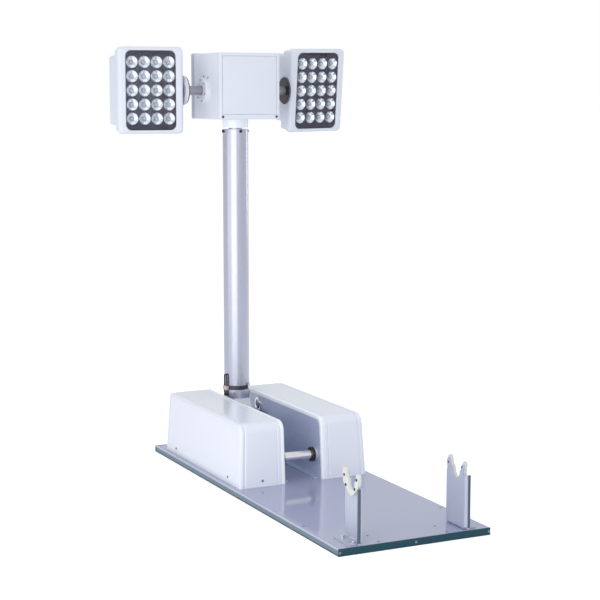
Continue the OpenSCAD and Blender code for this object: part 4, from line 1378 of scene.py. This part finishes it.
@dataclass
class Studio:
    """Camera, floor, soft lights and the white surroundings."""

    eye: Point = (-2.177, -4.405, 1.279)  # Place of the camera
    yaw: float = -26.10  # Degrees by which it looks to the right of +Y, negated
    pitch: float = 7.62  # Degrees by which it looks down
    lens: float = 92.52  # Focal length in millimetres
    sensor: float = 36.0  # Width of the sensor in millimetres
    floor_reach: float = 60.0  # Half the width of the floor
    floor_colour: Colour = (0.86, 0.86, 0.88)  # Colour of the floor
    # Light that the floor shows of its own, so that it reads as white beside the shadow
    floor_lift: float = 0.44
    ambient: float = 0.75  # Level of the surroundings that lights matt surfaces
    ambient_tint: Colour = (0.94, 0.96, 1.0)  # Colour of that light
    far_wall: float = 0.85  # Level that gloss shows of the surroundings behind the object
    near_wall: float = 0.95  # Level that gloss shows of the surroundings on the camera's side
    wall_tint: Colour = (0.95, 0.97, 1.0)  # Colour of the surroundings in gloss
    # The soft lights
    lights: tuple[Softbox, ...] = (
        Softbox("left_softbox", (-1.70, -1.42, 0.85), (0.0, 0.55, 0.85), (2.5, 1.7), 22.0),
        Softbox("side_softbox", (-4.5, 0.3, 1.2), (0.0, 0.4, 1.2), (2.6, 2.4), 15.0),
        Softbox("front_softbox", (0.4, -5.2, 2.0), (0.0, 0.2, 0.6), (2.6, 1.8), 12.0),
        Softbox("top_softbox", (0.0, 0.2, 3.6), (0.0, 0.2, 0.0), (2.4, 2.4), 8.0),
        Softbox("rear_softbox", (3.4, 1.0, 1.6), (0.0, 0.4, 0.8), (0.8, 2.2), 12.0),
    )

    def build(self) -> None:
        """Builds the whole studio."""
        scene = bpy.context.scene
        scene.view_settings.view_transform = "Standard"
        self.camera(scene)
        self.floor(scene)
        self.surroundings(scene)
        for light in self.lights:
            light.build()

    def camera(self, scene: bpy.types.Scene) -> None:
        """Adds the camera at the photograph's viewing angle.

        Args:
            scene: The scene that gets it.
        """
        data = bpy.data.cameras.new("camera")
        data.lens = self.lens
        data.sensor_width = self.sensor
        data.clip_end = 4 * self.floor_reach
        camera = bpy.data.objects.new("camera", data)
        camera.location = self.eye
        camera.rotation_euler = (math.radians(90 - self.pitch), 0.0, math.radians(self.yaw))
        scene.collection.objects.link(camera)
        scene.camera = camera

    def seen(self, tree: ShaderTree) -> tuple[Socket, Socket]:
        """Light paths that see the surroundings as such.

        Args:
            tree: The node tree to add to.

        Returns:
            1 for the camera's own rays, and 1 for gloss and glass.
        """
        path = tree.add("ShaderNodeLightPath").outputs
        rays = {0: path["Is Glossy Ray"], 1: path["Is Transmission Ray"]}
        return path["Is Camera Ray"], tree.add("ShaderNodeMath", rays, operation="MAXIMUM").outputs["Value"]

    def floor(self, scene: bpy.types.Scene) -> None:
        """Adds the pale floor, which keeps the object's shadow and shows white around it.

        Args:
            scene: The scene that gets it.
        """
        reach = self.floor_reach
        mesh = bpy.data.meshes.new("floor")
        corners = [(-reach, -reach, 0), (reach, -reach, 0), (reach, reach, 0), (-reach, reach, 0)]
        mesh.from_pydata(corners, [], [(0, 1, 2, 3)])
        tree = ShaderTree(bpy.data.materials.new("pale_floor"), bare=True)
        direct, gloss = self.seen(tree)
        either = tree.add("ShaderNodeMath", {0: direct, 1: gloss}, operation="MAXIMUM")
        level = tree.add("ShaderNodeMath", {0: either, 1: self.floor_lift}, operation="MULTIPLY")
        matt = tree.add("ShaderNodeBsdfDiffuse", {"Color": self.floor_colour})
        glow = tree.add("ShaderNodeEmission", {"Strength": level})
        shown = tree.add("ShaderNodeAddShader", {0: matt, 1: glow})
        tree.add("ShaderNodeOutputMaterial", {"Surface": shown})
        mesh.materials.append(tree.owner)
        floor = bpy.data.objects.new("floor", mesh)
        scene.collection.objects.link(floor)

    def surroundings(self, scene: bpy.types.Scene) -> None:
        """Makes the world: white for the camera, even for matt, and darker behind the object for gloss.

        Args:
            scene: The scene that gets it.
        """
        scene.world = bpy.data.worlds.new("studio")
        tree = ShaderTree(scene.world, bare=True)
        yaw = math.radians(self.yaw)
        way = tree.add("ShaderNodeTexCoord").outputs["Generated"]
        backwards = (math.sin(yaw), -math.cos(yaw), 0.0)
        along = tree.add("ShaderNodeVectorMath", {0: way, 1: backwards}, operation="DOT_PRODUCT")
        levels = {"From Min": -1.0, "To Min": self.far_wall, "To Max": self.near_wall}
        wall = tree.add("ShaderNodeMapRange", {"Value": along.outputs["Value"], **levels},
                        interpolation_type="SMOOTHSTEP")
        matt = tree.add("ShaderNodeBackground", {"Color": self.ambient_tint, "Strength": self.ambient})
        gloss = tree.add("ShaderNodeBackground", {"Color": self.wall_tint, "Strength": wall})
        direct = tree.add("ShaderNodeBackground", {"Color": (1.0, 1.0, 1.0)})
        to_camera, to_gloss = self.seen(tree)
        lit = tree.add("ShaderNodeMixShader", {0: to_gloss, 1: matt, 2: gloss})
        shown = tree.add("ShaderNodeMixShader", {0: to_camera, 1: lit, 2: direct})
        tree.add("ShaderNodeOutputWorld", {"Surface": shown})


def dress_nodes() -> None:
    """Gives every CAD node its finish."""
    for finish, names in NODE_FINISHES.items():
        for name in names:
            materials = frame["nodes"][name].data.materials
            materials.clear()
            materials.append(finish.material())
            log.info("%s: %s", name, finish.name)


def main() -> None:
    """Builds the studio, dresses the nodes and builds the sub-assemblies in order."""
    logging.basicConfig(level=logging.INFO, format="%(message)s")
    Studio().build()
    dress_nodes()
    Base().build()
    Covers().build()
    CrossBar().build()
    Mast().build()
    Head().build()
    Lamp(Side.LEFT).build()
    Lamp(Side.RIGHT, tilt=6.0).build()


if __name__ == "__main__":
    main()
